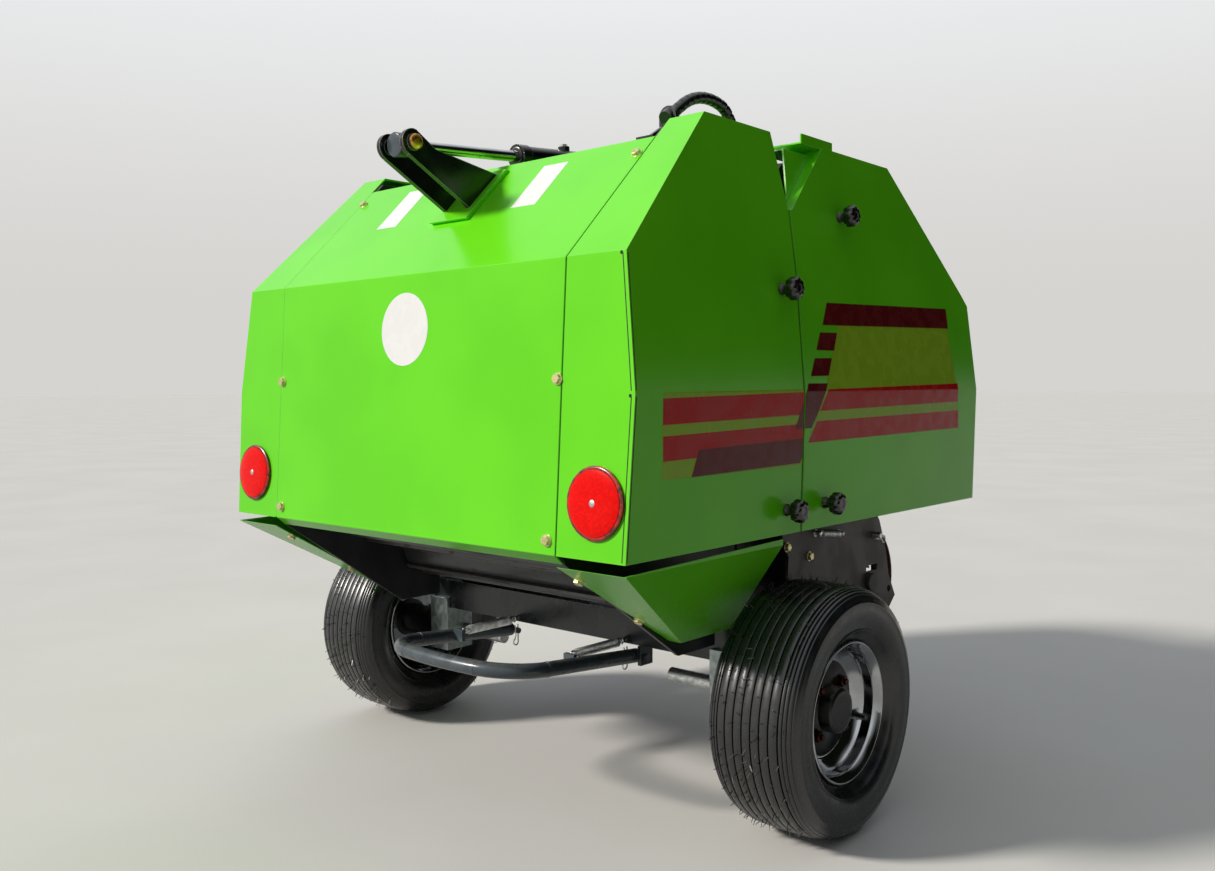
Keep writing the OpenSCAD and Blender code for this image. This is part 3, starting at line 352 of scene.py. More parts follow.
@dataclass(frozen=True)
class StructurePaint(Finish):
    """Satin machine paint on plate, tube and welded parts."""

    colour: str = "#2A2D2F"
    shade: str = "#202325"
    # Pale colour along the edges: partly chipped wear, partly a painted highlight where the edges
    # catch the light
    worn: str = "#6E7376"
    dust: str = "#8A8270"
    rough: float = 0.42
    edge: float = 1.4
    evenness: float = 0.15

    def coat(self, tree: Tree, where: Socket) -> None:
        """Brushes the satin paint, whose edges are paler from chipped wear and a painted
        highlight, and whose flat places hold dust.

        Args:
            tree: The material's tree.
            where: Object coordinates.
        """
        cloud = patches(tree, where, 60)
        chips = patches(tree, where, 9, 4.0, (0.48, 0.62), (self.evenness, 0.9), 0.7)
        # The pale edges are partly wear and partly painted highlight
        worn = add_node(tree, "Math", {**TIMES, 0: edge_mask(tree, self.edge), 1: chips})
        normal = add_node(tree, "NewGeometry", out="Normal")
        up = add_node(tree, "SeparateXYZ", {0: normal}, "Z")
        flat = add_node(tree, "MapRange", {**SMOOTH, "Value": up, "From Min": 0.5,
                                           "From Max": 0.95})
        specks = patches(tree, where, 18, 5.0, (0.4, 0.7), (0.0, 0.5), 0.7)
        dusty = add_node(tree, "Math", {**TIMES, 0: flat, 1: specks})
        colour = layered(tree, self.shade, (cloud, self.colour), (worn, self.worn),
                         (dusty, self.dust))
        rough = add_node(tree, "MapRange", {**SMOOTH, "Value": cloud, "To Min": self.rough,
                                            "To Max": self.rough + 0.1})
        peel = relief(tree, where, 1.6, 0.02)
        surface(tree, {"IOR": 1.5, "Base Color": colour, "Roughness": rough, "Normal": peel})


@dataclass(frozen=True)
class Plating(Finish):
    """Zinc, chromate or chrome over machined or drawn steel."""

    colour: str = "#C9CBC8"
    shade: str = "#9DA1A0"
    rough_low: float = 0.28
    rough_high: float = 0.45
    patch: float = 12.0
    grain_depth: float = 0.01

    def coat(self, tree: Tree, where: Socket) -> None:
        """Plates the metal, which gives the eye patches of changing sharpness.

        Args:
            tree: The material's tree.
            where: Object coordinates.
        """
        cloud = patches(tree, where, self.patch)
        colour = layered(tree, self.shade, (cloud, self.colour))
        rough = add_node(tree, "MapRange", {**SMOOTH, "Value": cloud,
                                            "To Min": self.rough_high,
                                            "To Max": self.rough_low})
        fine = relief(tree, where, 0.9, self.grain_depth)
        surface(tree, {"Metallic": 1.0, "Base Color": colour, "Roughness": rough,
                       "Normal": fine})


@dataclass(frozen=True)
class WornSteel(Finish):
    """Bare or lightly painted steel with a first bloom of rust."""

    colour: str = "#4B4D4E"
    rust: str = "#5E4536"
    bright: str = "#8F9192"

    def coat(self, tree: Tree, where: Socket) -> None:
        """Wears the steel: a dull grey that the bale polishes, with brown in the hollows.

        Args:
            tree: The material's tree.
            where: Object coordinates.
        """
        bloom = patches(tree, where, 35, 6.0, (0.52, 0.68), (0.0, 0.7), 0.65)
        rubbed = add_node(tree, "Math", {**TIMES, 0: edge_mask(tree, 1.5), 1: 0.8})
        colour = layered(tree, self.colour, (bloom, self.rust), (rubbed, self.bright))
        rough = add_node(tree, "MapRange", {**SMOOTH, "Value": bloom, "From Max": 0.7,
                                            "To Min": 0.36, "To Max": 0.75})
        pits = relief(tree, where, 2.2, 0.05, 4.0)
        surface(tree, {"Metallic": 0.6, "Base Color": colour, "Roughness": rough,
                       "Normal": pits})


@dataclass(frozen=True)
class MouldedRubber(Finish):
    """Black carbon-filled tyre rubber from a polished mould."""

    colour: str = "#14161A"
    bloom: str = "#1D1B19"
    dust: str = "#5C554A"

    def coat(self, tree: Tree, where: Socket) -> None:
        """Moulds the rubber: black with a brown wax bloom and pale dust in patches.

        Args:
            tree: The material's tree.
            where: Object coordinates.
        """
        wax = patches(tree, where, 70, 3.0, (0.4, 0.7), (0.0, 0.8))
        height = add_node(tree, "SeparateXYZ", {0: where}, "Z")
        low = add_node(tree, "MapRange", {**SMOOTH, "Value": height, "From Min": 0.1,
                                          "From Max": 0.0, "To Min": 0.1, "To Max": 0.5})
        specks = patches(tree, where, 10, 6.0, (0.45, 0.75), roughness=0.75)
        dusty = add_node(tree, "Math", {**TIMES, 0: low, 1: specks})
        colour = layered(tree, self.colour, (wax, self.bloom), (dusty, self.dust))
        rough = patches(tree, where, 25, result=(0.26, 0.35))
        skin = relief(tree, where, 1.1, 0.012)
        surface(tree, {"IOR": 1.6, "Specular IOR Level": 0.55, "Base Color": colour,
                       "Roughness": rough, "Normal": skin})


@dataclass(frozen=True)
class MouldedPlastic(Finish):
    """Phenolic or nylon moulding."""

    colour: str = "#0E0E0F"
    flow: str = "#191817"
    rough: float = 0.16
    skin: float = 0.01

    def coat(self, tree: Tree, where: Socket) -> None:
        """Moulds the plastic, glossy with a faint skin and paler flow marks.

        Args:
            tree: The material's tree.
            where: Object coordinates.
        """
        cloud = patches(tree, where, 8)
        rough = add_node(tree, "MapRange", {**SMOOTH, "Value": cloud, "To Min": self.rough,
                                            "To Max": self.rough + 0.12})
        colour = layered(tree, self.colour, (cloud, self.flow))
        skin = relief(tree, where, 0.8, self.skin, 1.0)
        surface(tree, {"IOR": 1.6, "Base Color": colour, "Roughness": rough, "Normal": skin})


@dataclass(frozen=True)
class PrismLens(Finish):
    """Red acrylic reflector moulded with small prisms behind a smooth face."""

    colour: str = "#E00502"
    # Brighter red on single prisms: a painted glint
    painted_glint: str = "#F00E05"
    # Real prisms are 2 mm wide or less; these are coarser, so that they show
    prism: float = 3.0
    prism_depth: float = 0.12

    def coat(self, tree: Tree, where: Socket) -> None:
        """Moulds the lens: single prisms get a brighter red as painted glints, and the red glows
        faintly as painted light.

        Args:
            tree: The material's tree.
            where: Object coordinates.
        """
        cells = add_node(tree, "TexVoronoi", {"Vector": where, "Scale": per_mm(self.prism)}
                         ).node.outputs
        tint = add_node(tree, "SeparateXYZ", {0: cells["Color"]}, "X")
        painted_glint_mask = add_node(tree, "MapRange", {**SMOOTH, "Value": tint, "From Min": 0.55,
                                              "From Max": 0.95})
        colour = layered(tree, self.colour, (painted_glint_mask, self.painted_glint))
        facets = add_node(tree, "Bump", {"Height": cells["Distance"],
                                         "Distance": self.prism_depth * MM})
        # The emission is a painted glow: the lens is no lamp
        surface(tree, {"Roughness": 0.3, "IOR": 1.15, "Coat Weight": 0.15,
                       "Coat Roughness": 0.05, "Emission Strength": 0.2,
                       "Base Color": colour, "Emission Color": colour, "Normal": facets})


@dataclass(frozen=True)
class PrintedFilm(Finish):
    """Printed vinyl film, stuck on by hand."""

    colour: str = "#B8160F"
    shade: str = "#A5130D"
    bubble_height: float = 0.04

    def coat(self, tree: Tree, where: Socket) -> None:
        """Prints the film: even colour under a smooth gloss, with shallow trapped bubbles.

        Args:
            tree: The material's tree.
            where: Object coordinates.
        """
        cloud = patches(tree, where, 30)
        colour = layered(tree, self.shade, (cloud, self.colour))
        rough = add_node(tree, "MapRange", {**SMOOTH, "Value": cloud, "To Min": 0.22,
                                            "To Max": 0.32})
        bubbles = patches(tree, where, 9, 1.0, (0.7, 0.82))
        skin = add_node(tree, "Bump", {"Height": bubbles,
                                       "Distance": self.bubble_height * MM})
        surface(tree, {"IOR": 1.3, "Base Color": colour, "Roughness": rough, "Normal": skin})


@dataclass(frozen=True)
class SweptFloor(Finish):
    """Pale trowelled floor."""

    colour: str = "#E6E4E0"
    shade: str = "#E1DFDA"
    bounce: str = "#86837E"

    def coat(self, tree: Tree, where: Socket) -> None:
        """Trowels the floor: pale and faintly cloudy to the eye, and dull as a source of light.

        Args:
            tree: The material's tree.
            where: Object coordinates.
        """
        cloud = patches(tree, where, 700, 5.0, (0.3, 0.7))
        pale = layered(tree, self.shade, (cloud, self.colour))
        colour = layered(tree, self.bounce, (seen_directly(tree), pale))
        fine = relief(tree, where, 6, 0.15, 3.0)
        surface(tree, {"Specular IOR Level": 0.12, "Roughness": 0.7, "Base Color": colour,
                       "Normal": fine})


GREEN = SheetEnamel("green_baked_enamel", "body_paint")
FRAME_PAINT = StructurePaint("dark_grey_satin_paint", "frame_paint")
TWINE_PAINT = StructurePaint("grey_hammered_paint", "twine_paint", colour="#3C4144",
                             shade="#303538")
BLACK_PAINT = StructurePaint("black_gloss_paint", "black_paint", colour="#15171A",
                             shade="#0F1112", worn="#B9B8AE", rough=0.2)
# The beam's pale edges are mostly a painted highlight
BEAM_PAINT = StructurePaint("blue_black_gloss_paint", "frame_paint", colour="#23272B",
                            shade="#1B1F23", worn="#A9B0B4", rough=0.2, edge=1.8,
                            evenness=0.45)
# The brown in this dark paint is a painted reflection of the ground
PLATE_PAINT = StructurePaint("brown_black_satin_paint", "frame_paint", colour="#3B3430",
                             shade="#2F2926", worn="#8A7F76")
BAND_PAINT = StructurePaint("red_brown_primer", "frame_paint", colour="#5A3426",
                            shade="#43271D", worn="#8B5F4B")
# The kicker's pale edges are mostly a painted highlight
KICKER_PAINT = StructurePaint("blue_grey_gloss_paint", "frame_paint", colour="#515C63",
                              shade="#464F56", worn="#A9B0B4", rough=0.22)
ROLLER_STEEL = WornSteel("roller_steel_first_rust", "frame_paint")
# Paler than the plating itself: painted light on springs and axle stubs that lie in the body's
# shadow
ZINC = Plating("bright_zinc_plate", "zinc", colour="#DCDEDC", shade="#B2B6B5")
YELLOW_ZINC = Plating("yellow_chromate_zinc", "zinc", colour="#E4DDB2", shade="#B9AC72",
                      patch=5.0)
LEG_ZINC = Plating("dull_hot_dip_zinc", "zinc", colour="#98A2A0", shade="#87918F",
                   rough_low=0.36, rough_high=0.5)
RIM_CHROME = Plating("polished_rim_chrome", "chrome", colour="#AEB0B2", shade="#96989A",
                     rough_low=0.05, rough_high=0.14, patch=60.0, grain_depth=0.003)
PIN_ZINC = Plating("gold_chromate_zinc", "zinc", colour="#E3AE4C", shade="#C98F34", patch=9.0)
CHROME = Plating("chrome_on_polished_steel", "chrome", colour="#C6C8CA", shade="#B2B5B8",
                 rough_low=0.04, rough_high=0.1, patch=45.0, grain_depth=0.002)
RUBBER = MouldedRubber("carbon_black_tyre_rubber", "rubber")
# Paler than the tyre's rubber: a painted highlight, so that the hairs show as they catch the
# light
VENT_RUBBER = MouldedRubber("dusty_vent_hairs", "rubber", colour="#46433E", bloom="#524D46",
                            dust="#6A6358")
# Black, with a red-brown tint that is a painted reflection
KNOB_PLASTIC = MouldedPlastic("black_phenolic_moulding", "black_plastic", colour="#140B09")
HUB_PAINT = StructurePaint("black_hub_paint", "black_paint", colour="#131416", shade="#0D0E0F",
                           worn="#3A3C3E", rough=0.3)
BRASS = Plating("drawn_brass", "zinc", colour="#B89B56", shade="#9C7F3E", patch=8.0)
# The nuts' red tint is a painted reflection, and their darkness is painted shade inside the wheel
LUG_ZINC = Plating("aged_red_gold_zinc", "zinc", colour="#4E2C20", shade="#2E1A13", patch=5.0)
HOSE_GUARD = MouldedPlastic("black_spiral_guard", "hose_rubber", colour="#121315", rough=0.2)
LENS = PrismLens("red_acrylic_prisms", "reflector")
RIM_RED = MouldedPlastic("red_moulded_reflector_rim", "reflector", colour="#C4281A", rough=0.2)
TINE_STEEL = Plating("oil_hardened_spring_steel", "tine_steel", colour="#6E6F70",
                     shade="#4C4D4F", rough_low=0.35, rough_high=0.5)
RED_FILM = PrintedFilm("red_vinyl_film", "body_paint", colour="#D0141A", shade="#CB1318")
MAROON_FILM = PrintedFilm("maroon_vinyl_film", "body_paint", colour="#70161C",
                          shade="#6B151A")
PALE_FILM = PrintedFilm("yellow_green_vinyl_film", "body_paint", colour="#A6D430",
                        shade="#A1CF2D")
WHITE_FILM = PrintedFilm("white_vinyl_film", "body_paint", colour="#FBFBFA", shade="#F8F8F6")
# Near-black green: painted shadow in the corner's joint and painted shade in its relief holes
SEAM_SHADOW = MouldedPlastic("dark_seam_sealer", "body_paint", colour="#0A2006", rough=0.8)
# Its pale, almost unbroken edges are a painted highlight on the plates' cut edges
ARM_PAINT = StructurePaint("black_gloss_paint_on_cut_plate", "black_paint", colour="#15171A",
                           shade="#0F1112", worn="#A8AE9A", rough=0.18, edge=3.2,
                           evenness=0.8)
FLOOR = SweptFloor("pale_trowelled_floor", "body_paint")


# Mesh building

# Bolt heads as width across the flats, height, and the washer's outer radius, in mm
M6 = (10, 4, 7)
M8 = (13, 5, 9)
# Corners that lie this close are one, in mm
MERGE = 0.01
# Facets that bend less than this are one flat face, in degrees
FLAT = 0.4
# Edges that bend more than this are rounded, in degrees
HARD = 32


def facing_x(x: float, y: float, z: float, side: Side = Side.RIGHT) -> Matrix:
    """Places local (u, v, w) at (x + w, y + u, z + v), or mirrored to the left side."""
    s = side.value
    return Matrix(((0, 0, s, s * x), (1, 0, 0, y), (0, 1, 0, z), (0, 0, 0, 1)))


def facing(point: Vector, direction: Vector) -> Matrix:
    """Places local Z along a direction, from a point."""
    turn = direction.to_track_quat("Z", "Y").to_matrix().to_4x4()
    return Matrix.Translation(point) @ turn


def arc(centre: Point, radius: float, start: float, end: float, steps: int) -> list[Point]:
    """Divides an arc into points, both ends included.

    Args:
        centre: The arc's centre.
        radius: Its radius.
        start: The angle where it starts, in degrees.
        end: The angle where it ends, in degrees.
        steps: Number of divisions.

    Returns:
        The points in order.
    """
    angles = [math.radians(start + (end - start) * i / steps) for i in range(steps + 1)]
    return [(centre[0] + radius * math.cos(a), centre[1] + radius * math.sin(a))
            for a in angles]


class Form:
    """A mesh under construction, in the drawing's millimetres."""

    def __init__(self) -> None:
        """Starts with nothing."""
        self.points: list[Vector] = []
        self.faces: list[tuple[int, ...]] = []

    def rings(self, rings: Sequence[Sequence[Vector]], closed: bool = False,
              loop: bool = True) -> None:
        """Skins a row of rings that have equally many points.

        Args:
            rings: The rings in order.
            closed: Whether the last ring joins the first; if not, both are capped.
            loop: Whether each ring's last point joins its first.
        """
        base, count, total = len(self.points), len(rings[0]), len(rings)
        for ring in rings:
            self.points.extend(ring)
        for i in range(total if closed else total - 1):
            a, b = base + i * count, base + (i + 1) % total * count
            for j in range(count if loop else count - 1):
                k = (j + 1) % count
                self.faces.append((a + j, a + k, b + k, b + j))
        if not closed:
            for first in (base, base + (total - 1) * count):
                self.faces.append(tuple(range(first, first + count)))

    def lathe(self, section: Sequence[Point], place: Matrix, steps: int = 48,
              loop: bool = False, swell: Callable[[float], float] | None = None) -> None:
        """Turns a section round the local Z axis.

        Args:
            section: Points as (radius, height).
            place: Where the local axes lie.
            steps: Facets round the axis.
            loop: Whether the section closes on itself.
            swell: Factor on the radius at an angle, for lobes.
        """
        rings = []
        for i in range(steps):
            a = 2 * math.pi * i / steps
            k = swell(a) if swell else 1.0
            rings.append([place @ Vector((r * k * math.cos(a), r * k * math.sin(a), h))
                          for r, h in section])
        self.rings(rings, True, loop)

    def prism(self, outline: Sequence[Point], low: float, high: float, place: Matrix) -> None:
        """Extrudes an outline along the local Z axis, from low to high."""
        self.rings([[place @ Vector((u, v, w)) for u, v in outline] for w in (low, high)])

    def tube(self, path: Sequence[Vector], radius: float | Sequence[float], sides: int = 12,
             closed: bool = False) -> None:
        """Sweeps a circle along a path.

        Args:
            path: The centreline's points.
            radius: The tube's radius, or one for each point.
            sides: Facets round the tube.
            closed: Whether the path joins its own start.
        """
        radii = [radius] * len(path) if isinstance(radius, (int, float)) else list(radius)
        count = len(path)
        rings = []
        across: Vector | None = None
        for i, point in enumerate(path):
            before = path[(i - 1) % count] if closed or i > 0 else point
            after = path[(i + 1) % count] if closed or i < count - 1 else point
            along = (after - before).normalized()
            if across is None:
                across = along.orthogonal().normalized()
            across = (across - along * across.dot(along)).normalized()
            other = along.cross(across)
            rings.append([point + (across * math.cos(t) + other * math.sin(t)) * radii[i]
                          for t in (2 * math.pi * k / sides for k in range(sides))])
        self.rings(rings, closed)

    def hex_bolt(self, place: Matrix, across: float, height: float, washer: float) -> None:
        """Adds a hexagon head with its washer, standing on the local plane.

        Args:
            place: The seat's centre, with Z outwards.
            across: Width across the flats.
            height: Height of the head.
            washer: Outer radius of the washer.
        """
        self.lathe([(0, 0), (washer, 0), (washer, 1.2), (washer - 0.5, 1.6), (0, 1.6)], place,
                   28)
        outline = arc((0, 0), across / math.sqrt(3), 0, 300, 5)
        low, high = 1.6, 1.6 + height
        self.rings([[place @ Vector((u * k, v * k, w)) for u, v in outline]
                    for k, w in ((1, low), (1, high - 0.8), (0.86, high))])

    def to_object(self, name: str, finish: Finish, body: Body | None, sharp: float = 35.0
                  ) -> bpy.types.Object:
        """Makes the object, in metres, with its finish, and sets it to ride on a body.

        Args:
            name: The piece's name.
            finish: Its finish.
            body: The body that it rides on, or None to leave it on no body.
            sharp: Angle in degrees above which an edge stays sharp.

        Returns:
            The new object.
        """
        mesh = bpy.data.meshes.new(name)
        mesh.from_pydata([at(*p) for p in self.points], [], self.faces)
        work = bmesh.new()
        work.from_mesh(mesh)
        bmesh.ops.remove_doubles(work, verts=work.verts, dist=MERGE * MM)
        bmesh.ops.recalc_face_normals(work, faces=work.faces)
        work.to_mesh(mesh)
        work.free()
        mesh.polygons.foreach_set("use_smooth", [True] * len(mesh.polygons))
        mesh.set_sharp_from_angle(angle=math.radians(sharp))
        mesh.materials.append(finish.material())
        piece = bpy.data.objects.new(name, mesh)
        bpy.context.scene.collection.objects.link(piece)
        if body is not None:
            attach(piece, body.value)
        log.info("%s: %d faces", name, len(mesh.polygons))
        return piece


def soften(piece: bpy.types.Object, width: float, segments: int = 2) -> None:
    """Rounds a piece's hard edges, as pressing and painting leave them.

    Args:
        piece: The object.
        width: The rounding's width, in mm.
        segments: Facets over the rounding.
    """
    bevel = piece.modifiers.new("rounded_edges", "BEVEL")
    bevel.width = width * MM
    bevel.segments = segments
    bevel.limit_method = "ANGLE"
    bevel.angle_limit = math.radians(HARD)
    shade = piece.modifiers.new("flat_faces_stay_flat", "WEIGHTED_NORMAL")
    shade.weight = 100


def dress(node: str, finish: Finish, rounding: float = 0.8) -> None:
    """Gives a frame node its finish and soft edges, and leaves its mesh as it is.

    Args:
        node: The frame node's name.
        finish: Its finish.
        rounding: Width of the rounded edges, in mm.
    """
    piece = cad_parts[node]
    if piece.material_slots:
        for slot in piece.material_slots:
            slot.material = finish.material()
    else:
        piece.data.materials.append(finish.material())
    weld = piece.modifiers.new("joined_facets", "WELD")
    weld.merge_threshold = MERGE * MM
    merged = piece.modifiers.new("whole_faces", "DECIMATE")
    merged.decimate_type = "DISSOLVE"
    merged.angle_limit = math.radians(FLAT)
    if rounding > 0:
        soften(piece, rounding)
    log.info("%s: %s", node, finish.name)


def helix(start: Vector, end: Vector, radius: float, turns: int, steps: int = 12
          ) -> list[Vector]:
    """Returns the centreline of a coil between two points.

    Args:
        start: The coil's first end, on its axis.
        end: Its other end, on its axis.
        radius: Radius of the centreline.
        turns: Number of turns.
        steps: Points for each turn.

    Returns:
        The points along the wire.
    """
    place = facing(start, (end - start).normalized())
    total = turns * steps
    rise = (end - start).length / total
    return [place @ Vector((radius * math.cos(2 * math.pi * i / steps),
                            radius * math.sin(2 * math.pi * i / steps), rise * i))
            for i in range(total + 1)]


def hairpin(form: Form, x: float, y: float, z: float, turn: float = 0.0,
            wire: float = 1.3) -> None:
    """Adds a hairpin clip through a pin that lies along X.

    Args:
        form: The mesh that it goes into.
        x: Where the clip crosses the pin.
        y: The pin's distance forward.
        z: The pin's height.
        turn: How far the clip is turned forward round the pin, in degrees.
        wire: Radius of the wire.
    """
    spin = Matrix.Translation((0, y, z)) @ Matrix.Rotation(
        math.radians(turn), 4, "X") @ Matrix.Translation((0, -y, -z))
    leg = [Vector((x, y, z + 13)), Vector((x, y, z - 16))]
    ring = [Vector((x, y - 6 + u, z - 22 + v)) for u, v in arc((0, 0), 6.5, 20, -250, 12)]
    back = [Vector((x, y - 6, z - 8)), Vector((x, y - 8, z)), Vector((x, y - 6, z + 7)),
            Vector((x, y - 9, z + 12))]
    form.tube([spin @ point for point in leg + ring + back], wire, 8)


# Sub-assemblies


@dataclass
class SheetShape:
    """Form of the green sides and rear, by which flat things are laid on them."""

    crease_x: float = 500.0
    foot_in: float = 6.0
    fold_in: float = 25.0
    top_in: float = 68.0
    foot_z: float = 488.0
    crease_z: float = 719.0
    fold_z: float = 914.0
    top_z: float = 1150.0
    lean: float = 27.0

    def rear_at(self, z: float) -> float:
        """Measures how far forward the rear face lies, or the slope over it.

        Args:
            z: Height above the ground.

        Returns:
            The distance forward of the rear face's foot.
        """
        if z < self.fold_z:
            return self.lean * (z - self.foot_z) / (self.fold_z - self.foot_z)
        return self.lean + z - self.fold_z

    def x_at(self, z: float) -> float:
        """Measures the half width over the sides.

        Args:
            z: Height above the ground.

        Returns:
            The distance of the sides' outside from the middle.
        """
        if z < self.crease_z:
            share = (self.crease_z - z) / (self.crease_z - self.foot_z)
            return self.crease_x - self.foot_in * share
        if z < self.fold_z:
            share = (z - self.crease_z) / (self.fold_z - self.crease_z)
            return self.crease_x - self.fold_in * share
        share = (z - self.fold_z) / (self.top_z - self.fold_z)
        return self.crease_x - self.fold_in - (self.top_in - self.fold_in) * share

    def cut_at_crease(self, outline: Outline, above: bool) -> list[Point]:
        """Keeps the part of a (y, z) outline on one side of the crease.

        Args:
            outline: The outline's corners.
            above: Whether the upper part is kept.

        Returns:
            The part's corners, which may be none.
        """
        sign = 1 if above else -1
        kept: list[Point] = []
        for i, (y0, z0) in enumerate(outline):
            y1, z1 = outline[(i + 1) % len(outline)]
            in0 = sign * (z0 - self.crease_z) >= 0
            in1 = sign * (z1 - self.crease_z) >= 0
            if in0:
                kept.append((y0, z0))
            if in0 != in1:
                t = (self.crease_z - z0) / (z1 - z0)
                kept.append((y0 + (y1 - y0) * t, self.crease_z))
        return kept

    def film(self, form: Form, outline: Outline, side: Side, low: float, high: float) -> None:
        """Lays a thin film with this (y, z) outline on one side.

        Args:
            form: The mesh that it goes into.
            outline: Its corners.
            side: The side of the machine.
            low: Height of its back over the paint, in mm.
            high: Height of its face over the paint, in mm.
        """
        for above in (False, True):
            part = self.cut_at_crease(outline, above)
            if len(part) > 2:
                form.rings([[Vector((side.value * (self.x_at(z) + h), y, z)) for y, z in part]
                            for h in (low, high)])


SHAPE = SheetShape()


@dataclass
class Bodywork:
    """Green sheet panels that keep their frame meshes."""

    rounding: float = 1.2
    panels: tuple[str, ...] = (
        "rear_cover", "front_hood", "rear_shield_left", "rear_shield_right",
        "front_shield_left", "front_shield_right", "lower_wedge_left", "lower_wedge_right")

    def build(self) -> None:
        """Paints the panels."""
        for panel in self.panels:
            dress(panel, GREEN, self.rounding)


@dataclass
class Stripes:
    """Film stripes on both sides, as outlines in (y, z)."""

    rear_film: Outline = ((75, 598), (75, 720), (444, 723), (444, 598))
    rear_red: tuple[Outline, ...] = (((75, 675), (75, 712), (444, 718), (444, 681)),
                                     ((77, 624), (76, 659), (444, 666), (444, 630)))
    rear_maroon: Outline = ((143, 598), (160, 637), (444, 642), (444, 611), (437, 602))
    rear_slant: Outline = ((420, 658), (444, 702), (444, 658))
    front_film: Outline = ((461, 634), (573, 819), (589, 846), (1024, 843), (1052, 640))
    front_red: tuple[Outline, ...] = (((497, 686), (524, 722), (1046, 731), (1045, 694)),
                                      ((461, 634), (488, 669), (1049, 676), (1052, 640)))
    front_maroon: tuple[Outline, ...] = (
        ((527, 831), (549, 870), (1028, 883), (1029, 843)),
        ((498, 788), (516, 818), (573, 819), (556, 788)),
        ((471, 744), (490, 774), (546, 775), (529, 745)),
        ((450, 658), (450, 712), (461, 732), (523, 732), (493, 686), (471, 658)))

    def build(self) -> None:
        """Lays the stripes on both sides, each on the body that its panel rides on."""
        for side in Side:
            rows = (
                ("film", PALE_FILM, Body.TAILGATE, (self.rear_film,), 0.05, 0.2),
                ("red", RED_FILM, Body.TAILGATE, self.rear_red, 0.15, 0.35),
                ("maroon", MAROON_FILM, Body.TAILGATE, (self.rear_maroon, self.rear_slant),
                 0.2, 0.45),
                ("film", PALE_FILM, Body.CHASSIS, (self.front_film,), 0.05, 0.2),
                ("red", RED_FILM, Body.CHASSIS, self.front_red, 0.15, 0.35),
                ("maroon", MAROON_FILM, Body.CHASSIS, self.front_maroon, 0.2, 0.45),
            )
            for word, finish, body, outlines, low, high in rows:
                form = Form()
                for outline in outlines:
                    SHAPE.film(form, outline, side, low, high)
                place = "rear" if body is Body.TAILGATE else "front"
                form.to_object(f"stripe_{word}_{place}_{side.word}", finish, body)


